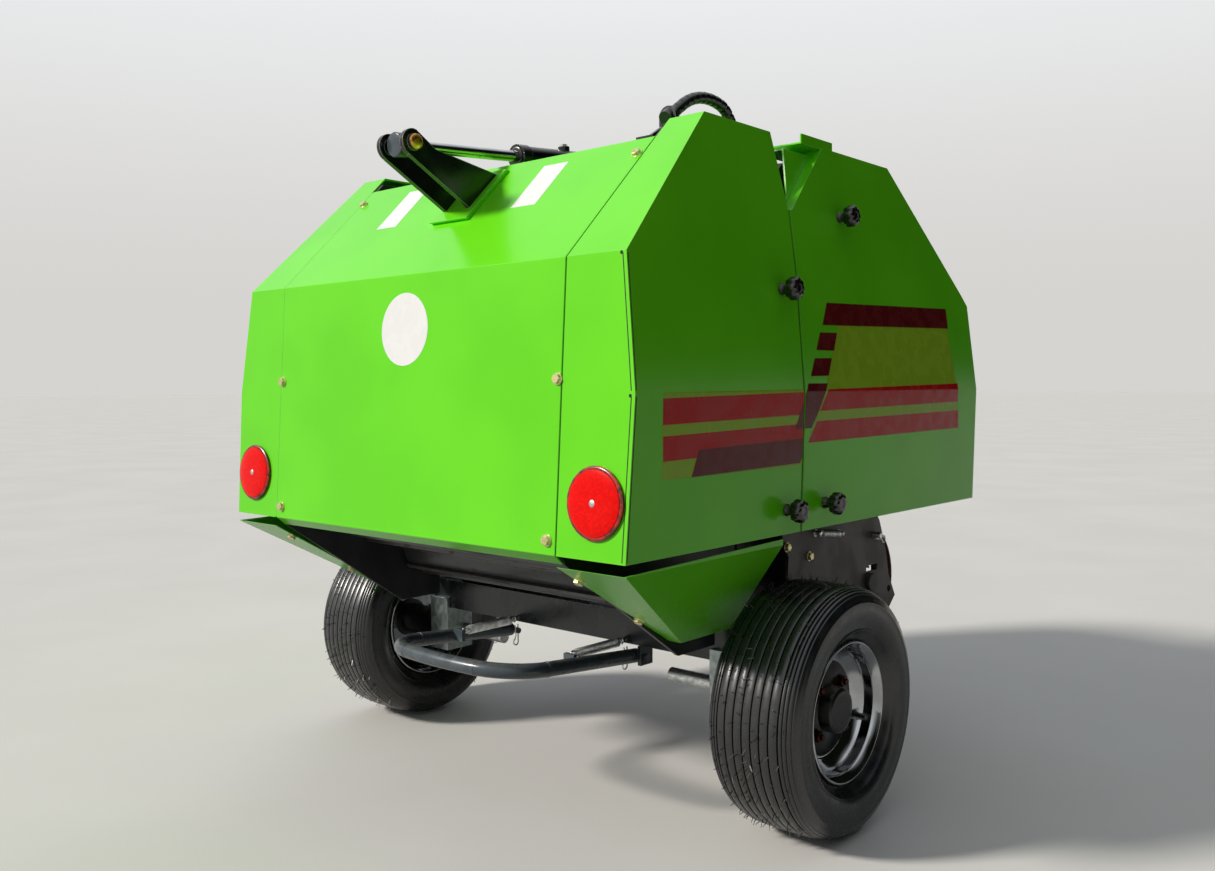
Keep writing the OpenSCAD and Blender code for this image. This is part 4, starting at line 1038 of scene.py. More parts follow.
@dataclass
class RearFace:
    """What is fixed to the rear face and its slope: the disc, labels, bolts and reflectors."""

    disc_z: float = 824.0
    disc_r: float = 60.0
    reflector_x: float = 437.0
    reflector_z: float = 568.0
    bolts: tuple[Point, ...] = ((355, 740), (-355, 740), (345, 509), (-345, 509))
    slope_bolts: tuple[Point, ...] = ((350, 200), (-350, 200))
    wedge_bolts: tuple[tuple[float, float, float], ...] = ((372, 40, 448.4), (372, 175, 368.9))
    wedge_out: tuple[float, float, float] = (0.0, -0.508, -0.862)
    seam_in: float = 6.5
    seam_w: float = 1.7
    side_seam_y: float = 2.2
    relief_in: float = 8.5
    relief_r: float = 2.6
    lap_x: Point = (361.33, 364.27)
    lap_top: float = 1116.0
    wedge_x: float = 494.0
    wedge_top: float = 472.0
    wedge_rise: float = 9.0
    wedge_front: float = 392.0
    labels: tuple[Point, ...] = ((166, 172), (-192, 172))
    label_w: float = 56.0
    label_l: float = 112.0

    @property
    def outwards(self) -> Vector:
        """The rear face's outward direction."""
        return Vector((0, -(SHAPE.fold_z - SHAPE.foot_z), SHAPE.lean)).normalized()

    def on_face(self, x: float, z: float) -> Matrix:
        """Places local Z outwards at a point of the rear face."""
        return facing(Vector((x, SHAPE.rear_at(z), z)), self.outwards)

    def on_slope(self, x: float, y: float) -> Matrix:
        """Places local Z outwards at a point of the slope, with local Y up the slope.

        Args:
            x: Distance to the right of the middle.
            y: Distance forward of the rear face's foot.

        Returns:
            The place.
        """
        z = SHAPE.fold_z + y - SHAPE.lean
        up = Vector((0, 1, 1)).normalized()
        out = Vector((0, -1, 1)).normalized()
        across = up.cross(out)
        turn = Matrix((across, up, out)).transposed().to_4x4()
        return Matrix.Translation(Vector((x, y, z))) @ turn

    def disc(self) -> None:
        """Lays the blank white disc on the rear face."""
        form = Form()
        edge = [(0, 0.05), (self.disc_r, 0.05), (self.disc_r, 0.3), (0, 0.3)]
        form.lathe(edge, self.on_face(0, self.disc_z), 96)
        form.to_object("rear_disc", WHITE_FILM, Body.TAILGATE)

    def blank_labels(self) -> None:
        """Lays the two blank labels on the slope."""
        form = Form()
        u, v = self.label_w / 2, self.label_l / 2
        for x, y in self.labels:
            form.prism([(-u, -v), (u, -v), (u, v), (-u, v)], 0.05, 0.3, self.on_slope(x, y))
        form.to_object("slope_labels", WHITE_FILM, Body.TAILGATE)

    def panel_bolts(self) -> None:
        """Sets the bolts that hold the rear panels."""
        form = Form()
        for x, z in self.bolts:
            form.hex_bolt(self.on_face(x, z), *M8)
        for x, y in self.slope_bolts:
            form.hex_bolt(self.on_slope(x, y), *M8)
        for side in Side:
            for x, y, z in self.wedge_bolts:
                spot = facing(Vector((side.value * x, y, z)), Vector(self.wedge_out))
                form.hex_bolt(spot, *M8)
        form.to_object("panel_bolts", YELLOW_ZINC, Body.TAILGATE)

    def corner_seams(self) -> None:
        """Lays the joint line and relief holes along the right shield's rear corner as dark
        strips and discs: painted shadow in the joint and painted shade in the holes.
        """
        form = Form()
        half = self.seam_w / 2
        for low, high in ((SHAPE.foot_z + 3, SHAPE.crease_z - 4),
                          (SHAPE.crease_z + 4, SHAPE.fold_z - 3)):
            rear, flank = [], []
            for z in (low, high):
                x, y = SHAPE.x_at(z), SHAPE.rear_at(z)
                edge = [Vector((x - self.seam_in + w, y, z)) for w in (-half, half)]
                back, face = self.outwards * 0.02, self.outwards * 0.15
                rear.append([edge[0] + back, edge[1] + back, edge[1] + face, edge[0] + face])
                flank.append([Vector((x + h, y + self.side_seam_y + w, z)) for w, h in
                              ((0, 0.02), (self.seam_w, 0.02), (self.seam_w, 0.15),
                               (0, 0.15))])
            form.rings(rear)
            form.rings(flank)
        for z in (SHAPE.fold_z, SHAPE.crease_z):
            form.lathe([(0, 0.02), (self.relief_r, 0.02), (self.relief_r, 0.2), (0, 0.2)],
                       self.on_face(SHAPE.x_at(z) - self.relief_in, z - self.relief_r), 20)
        form.to_object("corner_seams", SEAM_SHADOW, Body.TAILGATE)

    def lap(self) -> None:
        """Closes the left panel joint with the shield's flange, which laps under the cover."""
        foot, fold, top = SHAPE.foot_z + 2, SHAPE.fold_z, self.lap_top
        outline = [(SHAPE.rear_at(foot) + 0.15, foot), (SHAPE.rear_at(fold) + 0.15, fold),
                   (SHAPE.rear_at(top) + 0.2, top), (SHAPE.rear_at(top) + 3.6, top),
                   (SHAPE.rear_at(fold) + 2.6, fold - 1), (SHAPE.rear_at(foot) + 2.6, foot)]
        form = Form()
        form.prism(outline, self.lap_x[0], self.lap_x[1], facing_x(0, 0, 0, Side.LEFT))
        form.to_object("left_joint_lap", GREEN, Body.TAILGATE)

    def wedge_strips(self) -> None:
        """Raises each lower wedge's top edge forward, towards the foot of the shield."""
        low, high = self.wedge_top, self.wedge_top + self.wedge_rise
        form = Form()
        for side in Side:
            form.prism([(2, low), (self.wedge_front, low), (self.wedge_front, high),
                        (2, low + 0.5)], self.wedge_x - 2.5, self.wedge_x,
                       facing_x(0, 0, 0, side))
        form.to_object("wedge_top_strips", GREEN, Body.TAILGATE)

    def reflectors(self) -> None:
        """Builds the round reflectors, each with its rim, lens and screw."""
        lens, rim, screw = Form(), Form(), Form()
        for side in Side:
            place = self.on_face(side.value * self.reflector_x, self.reflector_z)
            lens.lathe([(0, 4), (46, 4), (47, 6.2), (40, 8.2), (24, 8.9), (6, 9), (0, 9)],
                       place, 72)
            rim.lathe([(46.5, 0.4), (51.5, 0.4), (52, 1.5), (52, 4), (50.5, 5.2), (48, 5.6),
                       (46.5, 5)], place, 72, loop=True)
            screw.lathe([(0, 8), (5.2, 8), (5, 9.2), (3.4, 9.8), (0, 10)], place, 24)
        lenses = lens.to_object("reflector_lenses", LENS, Body.TAILGATE)
        rims = rim.to_object("reflector_rims", RIM_RED, Body.TAILGATE)
        screws = screw.to_object("reflector_screws", ZINC, Body.TAILGATE)
        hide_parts("reflectors")

    def build(self) -> None:
        """Builds everything on the rear face."""
        self.disc()
        self.blank_labels()
        self.corner_seams()
        self.lap()
        self.wedge_strips()
        self.panel_bolts()
        self.reflectors()


@dataclass
class Knobs:
    """Lobed clamping knobs that hold the shields."""

    spots: tuple[tuple[Body, float, float], ...] = (
        (Body.TAILGATE, 407, 884), (Body.TAILGATE, 398, 528),
        (Body.CHASSIS, 635, 1027), (Body.CHASSIS, 519, 530))
    head_r: float = 19.0
    head_l: float = 20.0
    neck_l: float = 14.0
    lobes: int = 8
    lobe_depth: float = 0.13

    def lobe(self, angle: float) -> float:
        """Returns the head's radius factor at an angle: full at a lobe, less between."""
        return 1 - self.lobe_depth * (0.5 - 0.5 * math.cos(self.lobes * angle)) ** 1.5

    def one(self, form: Form, y: float, z: float, side: Side) -> None:
        """Adds one knob, square to the vertical middle plane.

        Args:
            form: The mesh that it goes into.
            y: The knob's distance forward.
            z: Its height.
            side: The side of the machine.
        """
        place = facing_x(SHAPE.x_at(z) + 2, y, z, side)
        neck = [(0, 0), (10, 0), (10, 1.5), (8.5, 4), (8.5, self.neck_l - 2),
                (11, self.neck_l), (0, self.neck_l)]
        form.lathe(neck, place, 40)
        r, low, high = self.head_r, self.neck_l, self.neck_l + self.head_l
        head = [(0, low), (r * 0.7, low), (r * 0.94, low + 1.6), (r, low + 5)]
        head += [(r, high - 7), (r * 0.96, high - 3.6), (r * 0.84, high - 1.2)]
        head += [(r * 0.66, high), (r * 0.4, high - 0.2), (r * 0.34, high - 1.4), (0, high - 1.6)]
        form.lathe(head, place, 96, swell=self.lobe)

    def build(self) -> None:
        """Builds the knobs of both bodies."""
        for body, node in ((Body.TAILGATE, "rear_knobs"), (Body.CHASSIS, "front_knobs")):
            form = Form()
            for owner, y, z in self.spots:
                if owner is body:
                    for side in Side:
                        self.one(form, y, z, side)
            piece = form.to_object(f"{node}_lobed", KNOB_PLASTIC, body)
            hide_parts(node)


@dataclass
class Wheel:
    """One wheel: ribbed tyre, chrome rim and black hub."""

    side: Side
    track_x: float = 521.0
    axle_y: float = 447.0
    tyre_r: float = 203.0
    tyre_w: float = 163.0
    rim_r: float = 115.0
    ribs: int = 7
    rib_pitch: float = 15.6
    groove_w: float = 2.6
    groove_d: float = 5.5
    shoulder_grooves: tuple[float, ...] = (6.5, 12.5, 18.5)
    crown_drop: float = 45.0
    hairs: int = 460
    hair_turn: Point = (-58, 238)
    hair_x: Point = (-74, 66)
    hair_length: Point = (6.0, 12.0)
    # Real hairs are under 1 mm thick; these are thicker, so that they show
    hair_r: Point = (0.95, 0.45)
    seed: int = 7
    steps: int = 144

    @property
    def body(self) -> Body:
        """The wheel's body."""
        return Body.WHEEL_LEFT if self.side is Side.LEFT else Body.WHEEL_RIGHT

    @property
    def place(self) -> Matrix:
        """The wheel's middle, with local Z outwards."""
        return facing_x(self.track_x, self.axle_y, self.tyre_r, self.side)

    def crown(self, x: float) -> float:
        """Returns the tread's radius at a distance from the tyre's middle."""
        share = min(abs(x) / (self.tyre_w / 2), 1.0)
        return self.tyre_r - self.crown_drop * (1 - (1 - share ** 4) ** 0.25)

    def tread(self) -> list[Point]:
        """Draws the tread's section, with its grooves.

        Returns:
            The section from the inner shoulder to the outer one.
        """
        half = self.ribs * self.rib_pitch / 2
        grooves = [(-half + self.rib_pitch * i, self.groove_w, self.groove_d)
                   for i in range(self.ribs + 1)]
        for i, step in enumerate(self.shoulder_grooves):
            for sign in (-1, 1):
                grooves.append((sign * (half + step), 1.8, 3.2 - 0.6 * i))
        points = []
        for x, w, d in sorted(grooves):
            top = self.crown(x)
            points += [(self.crown(x - w / 2 - 1.2), x - w / 2 - 1.2),
                       (self.crown(x - w / 2) - 0.5, x - w / 2), (top - d + 0.6, x - w * 0.32),
                       (top - d, x), (top - d + 0.6, x + w * 0.32),
                       (self.crown(x + w / 2) - 0.5, x + w / 2),
                       (self.crown(x + w / 2 + 1.2), x + w / 2 + 1.2)]
        return points

    def wall(self) -> list[Point]:
        """Draws the outer sidewall's section.

        Returns:
            The section from the shoulder down to the bead.
        """
        w = self.tyre_w / 2
        return [(184, w - 3.3), (180, w - 2), (178.6, w - 0.9), (176.8, w - 0.9),
                (175, w - 1.2), (168, w - 0.4), (158, w - 0.2), (148, w - 1.6),
                (139, w - 4.8), (136, w - 6.6), (134.6, w - 5.6), (132.8, w - 6.4),
                (131, w - 9.4), (124, w - 14.5), (118, w - 19.5), (115.6, w - 22.2),
                (103.3, w - 29.6)]

    def tyre(self) -> None:
        """Builds the tyre with its ribs."""
        form = Form()
        wall = self.wall()
        inner = [(r, -h) for r, h in reversed(wall)]
        lining = [(103.3, self.tyre_w / 2 - 42), (141, 64), (158, 72.5), (183, 65), (187, 51),
                  (187, -51), (183, -65), (158, -72.5), (141, -64),
                  (103.3, 42 - self.tyre_w / 2)]
        form.lathe(inner + self.tread() + wall + lining, self.place, self.steps, loop=True)
        piece = form.to_object(f"tyre_{self.side.word}_ribbed", RUBBER, self.body, 50)
        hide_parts(f"tyre_{self.side.word}")

    def vents(self) -> None:
        """Grows the hairs that the mould's vents leave over the tread, away from the ground."""
        form = Form()
        pick = random.Random(self.seed + self.side.value)
        for _ in range(self.hairs):
            turn = math.radians(pick.uniform(*self.hair_turn))
            x = pick.uniform(*self.hair_x)
            r = self.crown(x) - 0.6
            length = pick.uniform(*self.hair_length)
            root = Vector((r * math.cos(turn), r * math.sin(turn), x))
            lean = Vector((math.cos(turn), math.sin(turn), 0))
            lean += Vector([pick.uniform(-0.7, 0.7) for _ in range(3)])
            tip = root + lean.normalized() * length
            path = [self.place @ root, self.place @ tip]
            form.tube(path, self.hair_r, 3)
        form.to_object(f"tyre_hairs_{self.side.word}", VENT_RUBBER, self.body)

    def rim(self) -> None:
        """Builds the chrome rim: rolled lip, bead seat, drop centre and disc."""
        form = Form()
        w, r = self.tyre_w / 2, self.rim_r
        lip = [(r - 0.4, w - 21.4), *arc((r - 2.6, w - 19.6), 2.6, 0, 150, 6)]
        outer = [(r - 7.5, w - 20.4), (r - 12.4, w - 25.2), (r - 14.6, w - 28.2),
                 (r - 15, w - 31), (r - 15.2, w - 43.5), (r - 16.5, w - 47),
                 (r - 19.5, w - 51), (r - 28.5, w - 58.5), (r - 31.5, w - 60.5),
                 (r - 33, w - 61.8)]
        disc = [(r - 37, w - 62.4), (62, w - 62.2), (56, w - 60.6), (50, w - 60.4),
                (44, w - 61.6), (30, w - 62), (25.4, w - 62), (25.4, w - 66),
                (44, w - 66), (62, w - 66), (r - 37, w - 67), (r - 33, w - 71)]
        back = [(r - 33, -w + 60), (r - 28.5, -w + 57), (r - 17, -w + 48.5), (r - 15, -w + 46),
                (r - 15, -w + 29), (r - 12.4, -w + 25.2), (r - 7.5, -w + 20.4)]
        curl = [*arc((r - 2.6, -w + 19.6), 2.6, 210, 360, 6), (r - 0.4, -w + 21.4)]
        bead = [(r - 4, -w + 23.6), (r - 12, -w + 29), (r - 12, -w + 46), (r - 30, -w + 58),
                (r - 30, w - 70), (r - 30, w - 66), (r - 12, w - 46), (r - 12, w - 29),
                (r - 4, w - 23.6)]
        form.lathe(lip + outer + disc + back + curl + bead, self.place, self.steps, loop=True)
        piece = form.to_object(f"rim_{self.side.word}_rolled", RIM_CHROME, self.body, 40)
        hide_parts(f"rim_{self.side.word}")

    def hub(self) -> None:
        """Builds what is bolted to the rim's disc: a flange cover widened over most of the disc
        as painted shade, cap, nuts and the valve.
        """
        w = self.tyre_w / 2
        cap = Form()
        # The black flange reaches out over the chrome disc: painted shade, where the disc lies in
        # shadow and reflects dark
        cap.lathe([(0, w - 61.6), (77, w - 61.6), (77, w - 60), (75, w - 58.6), (43, w - 57),
                   (38, w - 54), (36.5, w - 34), (34, w - 31.5), (30, w - 30.4), (0, w - 30)],
                  self.place, 64)
        cap.to_object(f"hub_cap_{self.side.word}", HUB_PAINT, self.body)
        nuts = Form()
        for i in range(4):
            a = math.radians(45 + 90 * i)
            spot = self.place @ Matrix.Translation((53 * math.cos(a), 53 * math.sin(a),
                                                    w - 58))
            nuts.hex_bolt(spot, 17, 9, 11)
            nuts.lathe([(0, 10), (5, 10), (5, 15), (4.2, 16), (0, 16)], spot, 20)
        nuts.to_object(f"lug_nuts_{self.side.word}", LUG_ZINC, self.body)
        valve = Form()
        root = self.place @ Matrix.Translation((84, -29, w - 55)) @ Matrix.Rotation(
            math.radians(-14), 4, "Y")
        valve.lathe([(0, -4), (7, -4), (7, 0), (5, 3), (4.4, 16), (4, 17), (4, 26), (3.2, 27),
                     (0, 27)], root, 24)
        valve.to_object(f"tyre_valve_{self.side.word}", RUBBER, self.body)
        dress(f"hub_{self.side.word}", HUB_PAINT, 0.6)

    def build(self) -> None:
        """Builds the wheel."""
        self.tyre()
        self.vents()
        self.rim()
        self.hub()


@dataclass
class RunningGear:
    """Axle, legs, kicker and its springs."""

    wire_r: float = 1.7
    turns: int = 26
    hook_r: float = 6.0
    hook_l: float = 15.0
    pivot_y: float = 412.0
    pivot_z: float = 235.0
    clip_x: float = 145.0

    def spring(self, side: Side) -> None:
        """Winds one tension spring, hooked at each end, between the beam and the kicker.

        Args:
            side: The side of the machine.
        """
        low, high = drawn_box("kicker_springs")
        outer = (high.z - low.z) / 2
        x, z = side.value * (high.x - outer), (low.z + high.z) / 2
        rear, front = low.y, high.y
        r = outer - self.wire_r
        start, end = front - self.hook_l, rear + self.hook_l
        path = helix(Vector((x, start, z)), Vector((x, end, z)), r, self.turns)
        h = self.hook_r
        first = [Vector((x, front - 1 - h + v, z + u)) for u, v in arc((0, 0), h, -130, 150, 10)]
        last = [Vector((x, rear + 1 + h - v, z + u)) for u, v in arc((0, 0), h, 150, -130, 10)]
        form = Form()
        form.tube(first + path + last, self.wire_r, 8)
        piece = form.to_object(f"kicker_spring_{side.word}", ZINC, None)
        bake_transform(piece)
        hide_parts("kicker_springs")

    def hairpins(self) -> None:
        """Bends the hairpin clip that holds each pivot pin of the kicker."""
        form = Form()
        for side in Side:
            hairpin(form, side.value * self.clip_x, self.pivot_y, self.pivot_z)
        form.to_object("kicker_hairpins", ZINC, Body.KICKER)

    def build(self) -> None:
        """Builds the running gear."""
        dress("axle_beam", BEAM_PAINT)
        dress("wheel_legs", LEG_ZINC)
        dress("axle_stubs", ZINC, 0.5)
        dress("kicker", KICKER_PAINT, 0.6)
        self.hairpins()
        for side in Side:
            self.spring(side)


@dataclass
class Chamber:
    """Chamber plates, rollers, front frame and twine box, which keep their frame meshes."""

    tube_rounding: float = 1.5

    def build(self) -> None:
        """Dresses the chamber and what stands in front of it."""
        for side in Side:
            dress(f"chamber_side_{side.word}", FRAME_PAINT)
            dress(f"tailgate_side_{side.word}", FRAME_PAINT)
        dress("front_rollers", ROLLER_STEEL)
        dress("tailgate_rollers", ROLLER_STEEL)
        dress("front_frame", FRAME_PAINT, self.tube_rounding)
        dress("twine_box", TWINE_PAINT)


@dataclass
class Hitch:
    """Hitch frame with its linchpins, gearbox with its splined shaft, and parking stand."""

    pin_x: float = 350.0
    pin_y: float = 1240.0
    pin_z: float = 480.0
    ring_r: float = 15.0
    shaft_z: float = 610.3
    nose_y: float = 1096.0
    nose_bolt_r: float = 35.0
    box_front_y: float = 1080.0
    box_top_z: float = 670.3
    box_x: float = 68.0
    seal_y: float = 1012.0
    shaft_y: Point = (1098.0, 1215.0)
    spline_r: float = 17.5
    splines: int = 6
    lock_x: float = 236.8
    lock_y: float = 1042.8
    lock_z: float = 540.0

    def spline(self, angle: float) -> float:
        """Returns the shaft's radius factor at an angle: full on a tooth, less between."""
        return 1.0 if (angle * self.splines / (2 * math.pi)) % 1.0 < 0.45 else 0.86

    def shaft(self) -> None:
        """Turns the splined shaft with its locking groove and the collar in the seal."""
        form = Form()
        axis = facing(Vector((0, 0, self.shaft_z)), Vector((0, 1, 0)))
        start, end = self.shaft_y
        r = self.spline_r
        form.lathe([(0, self.seal_y), (r + 4, self.seal_y), (r + 4, start - 1), (r + 3, start),
                    (0, start)], axis, 64)
        form.lathe([(0, start), (r, start), (r, end - 27), (r - 3.2, end - 25),
                    (r - 3.2, end - 19), (r, end - 17), (r, end - 2), (r - 2, end), (0, end)],
                   axis, 120, swell=self.spline)
        piece = form.to_object("pto_shaft_splined", ZINC, Body.PTO)
        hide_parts("pto_shaft")

    def gearbox_bolts(self) -> None:
        """Sets the seal plate's and cover's bolts, the oil plugs and the dipstick."""
        bolts, plugs = Form(), Form()
        front = Vector((0, 1, 0))
        for i in range(6):
            a = math.radians(30 + 60 * i)
            spot = Vector((self.nose_bolt_r * math.cos(a), self.nose_y,
                           self.shaft_z + self.nose_bolt_r * math.sin(a)))
            bolts.hex_bolt(facing(spot, front), *M6)
        for side in Side:
            for z in (self.box_top_z - 12, self.box_top_z - 118):
                spot = Vector((side.value * (self.box_x - 12), self.box_front_y, z))
                bolts.hex_bolt(facing(spot, front), *M8)
        plugs.hex_bolt(facing(Vector((34, 1015, self.box_top_z)), Vector((0, 0, 1))), 17, 8, 12)
        plugs.hex_bolt(facing(Vector((self.box_x, 1015, self.shaft_z)), Vector((1, 0, 0))),
                       14, 6, 10)
        bolts.to_object("gearbox_bolts", YELLOW_ZINC, Body.CHASSIS)
        plugs.to_object("gearbox_plugs", BRASS, Body.CHASSIS)

    def linchpins(self) -> None:
        """Bends the linchpin that locks each lower hitch pin."""
        form = Form()
        for side in Side:
            x = side.value * self.pin_x
            middle = Vector((x, self.pin_y, self.pin_z))
            down = facing(middle, Vector((0, 0, 1)))
            form.lathe([(0, -20), (4, -19), (4, 15), (7, 15), (7.5, 16), (7.5, 21), (6.5, 22),
                        (0, 22)], down, 20)
            ring = [middle + Vector((0, u, v)) for u, v in
                    arc((0, 0), self.ring_r, 80, -80, 18)]
            form.tube(ring, 1.8, 8)
        form.to_object("hitch_linchpins", ZINC, Body.CHASSIS)

    def stand_lock(self) -> None:
        """Builds the spring plunger that locks the stand's leg, with its pull ring."""
        form = Form()
        place = facing(Vector((self.lock_x, self.lock_y, self.lock_z)), Vector((1, 0, 0)))
        form.lathe([(0, 0), (15, 0), (15, 3), (11, 4), (11, 20), (10, 22), (4, 22), (4, 29),
                    (0, 29)], place, 32)
        ring = [place @ Vector((u, 0, 39 + v)) for u, v in arc((0, 0), 11, 0, 345, 23)]
        form.tube(ring, 1.6, 8, closed=True)
        form.to_object("stand_lock", ZINC, Body.CHASSIS)

    def build(self) -> None:
        """Dresses the hitch's frame nodes and adds their fittings."""
        dress("hitch_frame", FRAME_PAINT, 1.0)
        dress("gearbox", FRAME_PAINT, 1.5)
        dress("stand_sleeve", FRAME_PAINT)
        dress("stand_leg", ZINC)
        self.shaft()
        self.gearbox_bolts()
        self.linchpins()
        self.stand_lock()


@dataclass
class Lift:
    """The hydraulic cylinder over the top, its arm and its clevis."""

    barrel_pin: Point = (800.0, 1188.0)
    rod_pin: Point = (18.0, 1123.0)
    rod_show: float = 262.0
    rod_in: float = 225.0
    rod_r: float = 10.0
    eye_r: float = 20.0
    eye_l: float = 34.0
    eye_out: float = 12.0
    arm_x: Point = (26.0, 34.0)
    arm_r: float = 22.0
    arm_low: float = 1030.0
    arm_high: float = 1096.0
    arm_base: float = 48.0
    arm_seat: float = 0.3
    head_x: float = 40.0
    head_r: float = 12.5
    port_at: float = 396.0
    port_up: float = 17.0

    @property
    def length(self) -> float:
        """Distance between the cylinder's two pins."""
        return math.dist(self.barrel_pin, self.rod_pin)

    @property
    def axis(self) -> Matrix:
        """Local Z from the barrel's pin to the rod's pin."""
        start = Vector((0, *self.barrel_pin))
        return facing(start, (Vector((0, *self.rod_pin)) - start).normalized())

    def arm(self) -> None:
        """Cuts the arm's two black plates, and its base plate in the cover's green."""
        y, z = self.rod_pin
        plates, base = Form(), Form()
        low, high = self.arm_low, self.arm_high
        outline = arc((y, z), self.arm_r, 68, 249, 28)
        outline += [(y - 8, z - 21), (SHAPE.rear_at(low) - 4, low),
                    (SHAPE.rear_at(high) - 4, high), (y + 46, z - 4), (y + 8, z + 20)]
        for side in Side:
            plates.prism(outline, self.arm_x[0], self.arm_x[1], facing_x(0, 0, 0, side))
            plates.lathe([(0, self.arm_x[0] - 0.1), (self.head_r, self.arm_x[0] - 0.1),
                          (self.head_r, self.head_x), (0, self.head_x)],
                         facing_x(0, y, z, side), 48)
        foot, top = low - 20, high + 8
        off = self.arm_seat * math.sqrt(2)
        lower, upper = SHAPE.rear_at(foot) - off, SHAPE.rear_at(top) - off
        seat = [(lower - 8, foot + 2), (lower, foot), (upper, top), (upper - 8, top + 2)]
        base.prism(seat, -self.arm_base, self.arm_base, facing_x(0, 0, 0))
        piece = plates.to_object("cylinder_arm_plates", ARM_PAINT, Body.TAILGATE)
        foot_plate = base.to_object("cylinder_arm_base", GREEN, Body.TAILGATE)
        soften(piece, 0.6)
        soften(foot_plate, 0.8)
        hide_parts("cylinder_arm")

    def rod(self) -> None:
        """Turns the chrome rod, its black eye and a blue-grey disc on the eye's end, a painted
        reflection of the sky on the black paint.
        """
        r, high = self.rod_r, self.length + self.eye_out
        low = high - self.eye_l
        start = self.length - self.rod_show - self.rod_in
        bar, eye, cap = Form(), Form(), Form()
        bar.lathe([(0, start), (r - 1, start), (r, start + 1), (r, low), (0, low)], self.axis, 48)
        eye.lathe([(0, low - 11), (13, low - 11), (14.5, low - 9.5), (14.5, low - 1),
                   (self.eye_r - 1, low), (self.eye_r, low + 1), (self.eye_r, high - 1),
                   (self.eye_r - 0.8, high - 0.2), (0, high - 0.2)], self.axis, 56)
        # Blue-grey disc on the black eye's end: a painted reflection
        cap.lathe([(0, high - 1), (self.eye_r - 1.4, high - 1), (self.eye_r - 1.4, high),
                   (self.eye_r - 2, high + 0.3), (0, high + 0.3)], self.axis, 56)
        piece = bar.to_object("cylinder_rod_polished", CHROME, Body.ROD)
        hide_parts("cylinder_rod")
        eye.to_object("cylinder_rod_eye", BLACK_PAINT, Body.ROD)
        cap.to_object("cylinder_rod_cap", KICKER_PAINT, Body.ROD)

    def pin_heads(self) -> None:
        """Turns the domed heads of the pins in the arm and in the clevis."""
        dome = [(0, 0), (self.head_r - 0.3, 0), (self.head_r, 0.6), (self.head_r, 2.2),
                (self.head_r - 1.6, 3.6), (6, 4.6), (0, 5)]
        for word, body, (y, z) in (("arm", Body.TAILGATE, self.rod_pin),
                                   ("clevis", Body.CHASSIS, self.barrel_pin)):
            form = Form()
            for side in Side:
                form.lathe(dome, facing_x(self.head_x, y, z, side), 48)
            form.to_object(f"{word}_pin_heads", PIN_ZINC, body)

    def barrel_fittings(self) -> None:
        """Turns the gland's wiper and the oil port with its adapter."""
        gland = self.length - self.rod_show
        wiper, port, adapter = Form(), Form(), Form()
        wiper.lathe([(self.rod_r + 0.5, gland + 0.1), (17, gland + 0.1), (17, gland + 1.6),
                     (14, gland + 2.6), (self.rod_r + 0.5, gland + 2.6)], self.axis, 48,
                    loop=True)
        pin = Vector((0, *self.barrel_pin))
        along = (Vector((0, *self.rod_pin)) - pin).normalized()
        up = Vector((0, along.z, -along.y))
        foot = pin + along * self.port_at + up * self.port_up
        place = facing(foot, up)
        port.lathe([(0, 0), (11, 0), (11, 9), (10, 10), (0, 10)], place, 32)
        adapter.hex_bolt(facing(foot + up * 9, up), 13, 4, 8)
        wiper.to_object("gland_wiper", HOSE_GUARD, Body.BARREL)
        port.to_object("barrel_port", BLACK_PAINT, Body.BARREL)
        adapter.to_object("barrel_port_plug", ZINC, Body.BARREL)

    def build(self) -> None:
        """Dresses the lifting gear and adds the rod, pin heads and ports."""
        self.arm()
        dress("cylinder_clevis", ARM_PAINT, 0.8)
        dress("cylinder_barrel", BLACK_PAINT, 0.8)
        self.rod()
        self.pin_heads()
        self.barrel_fittings()


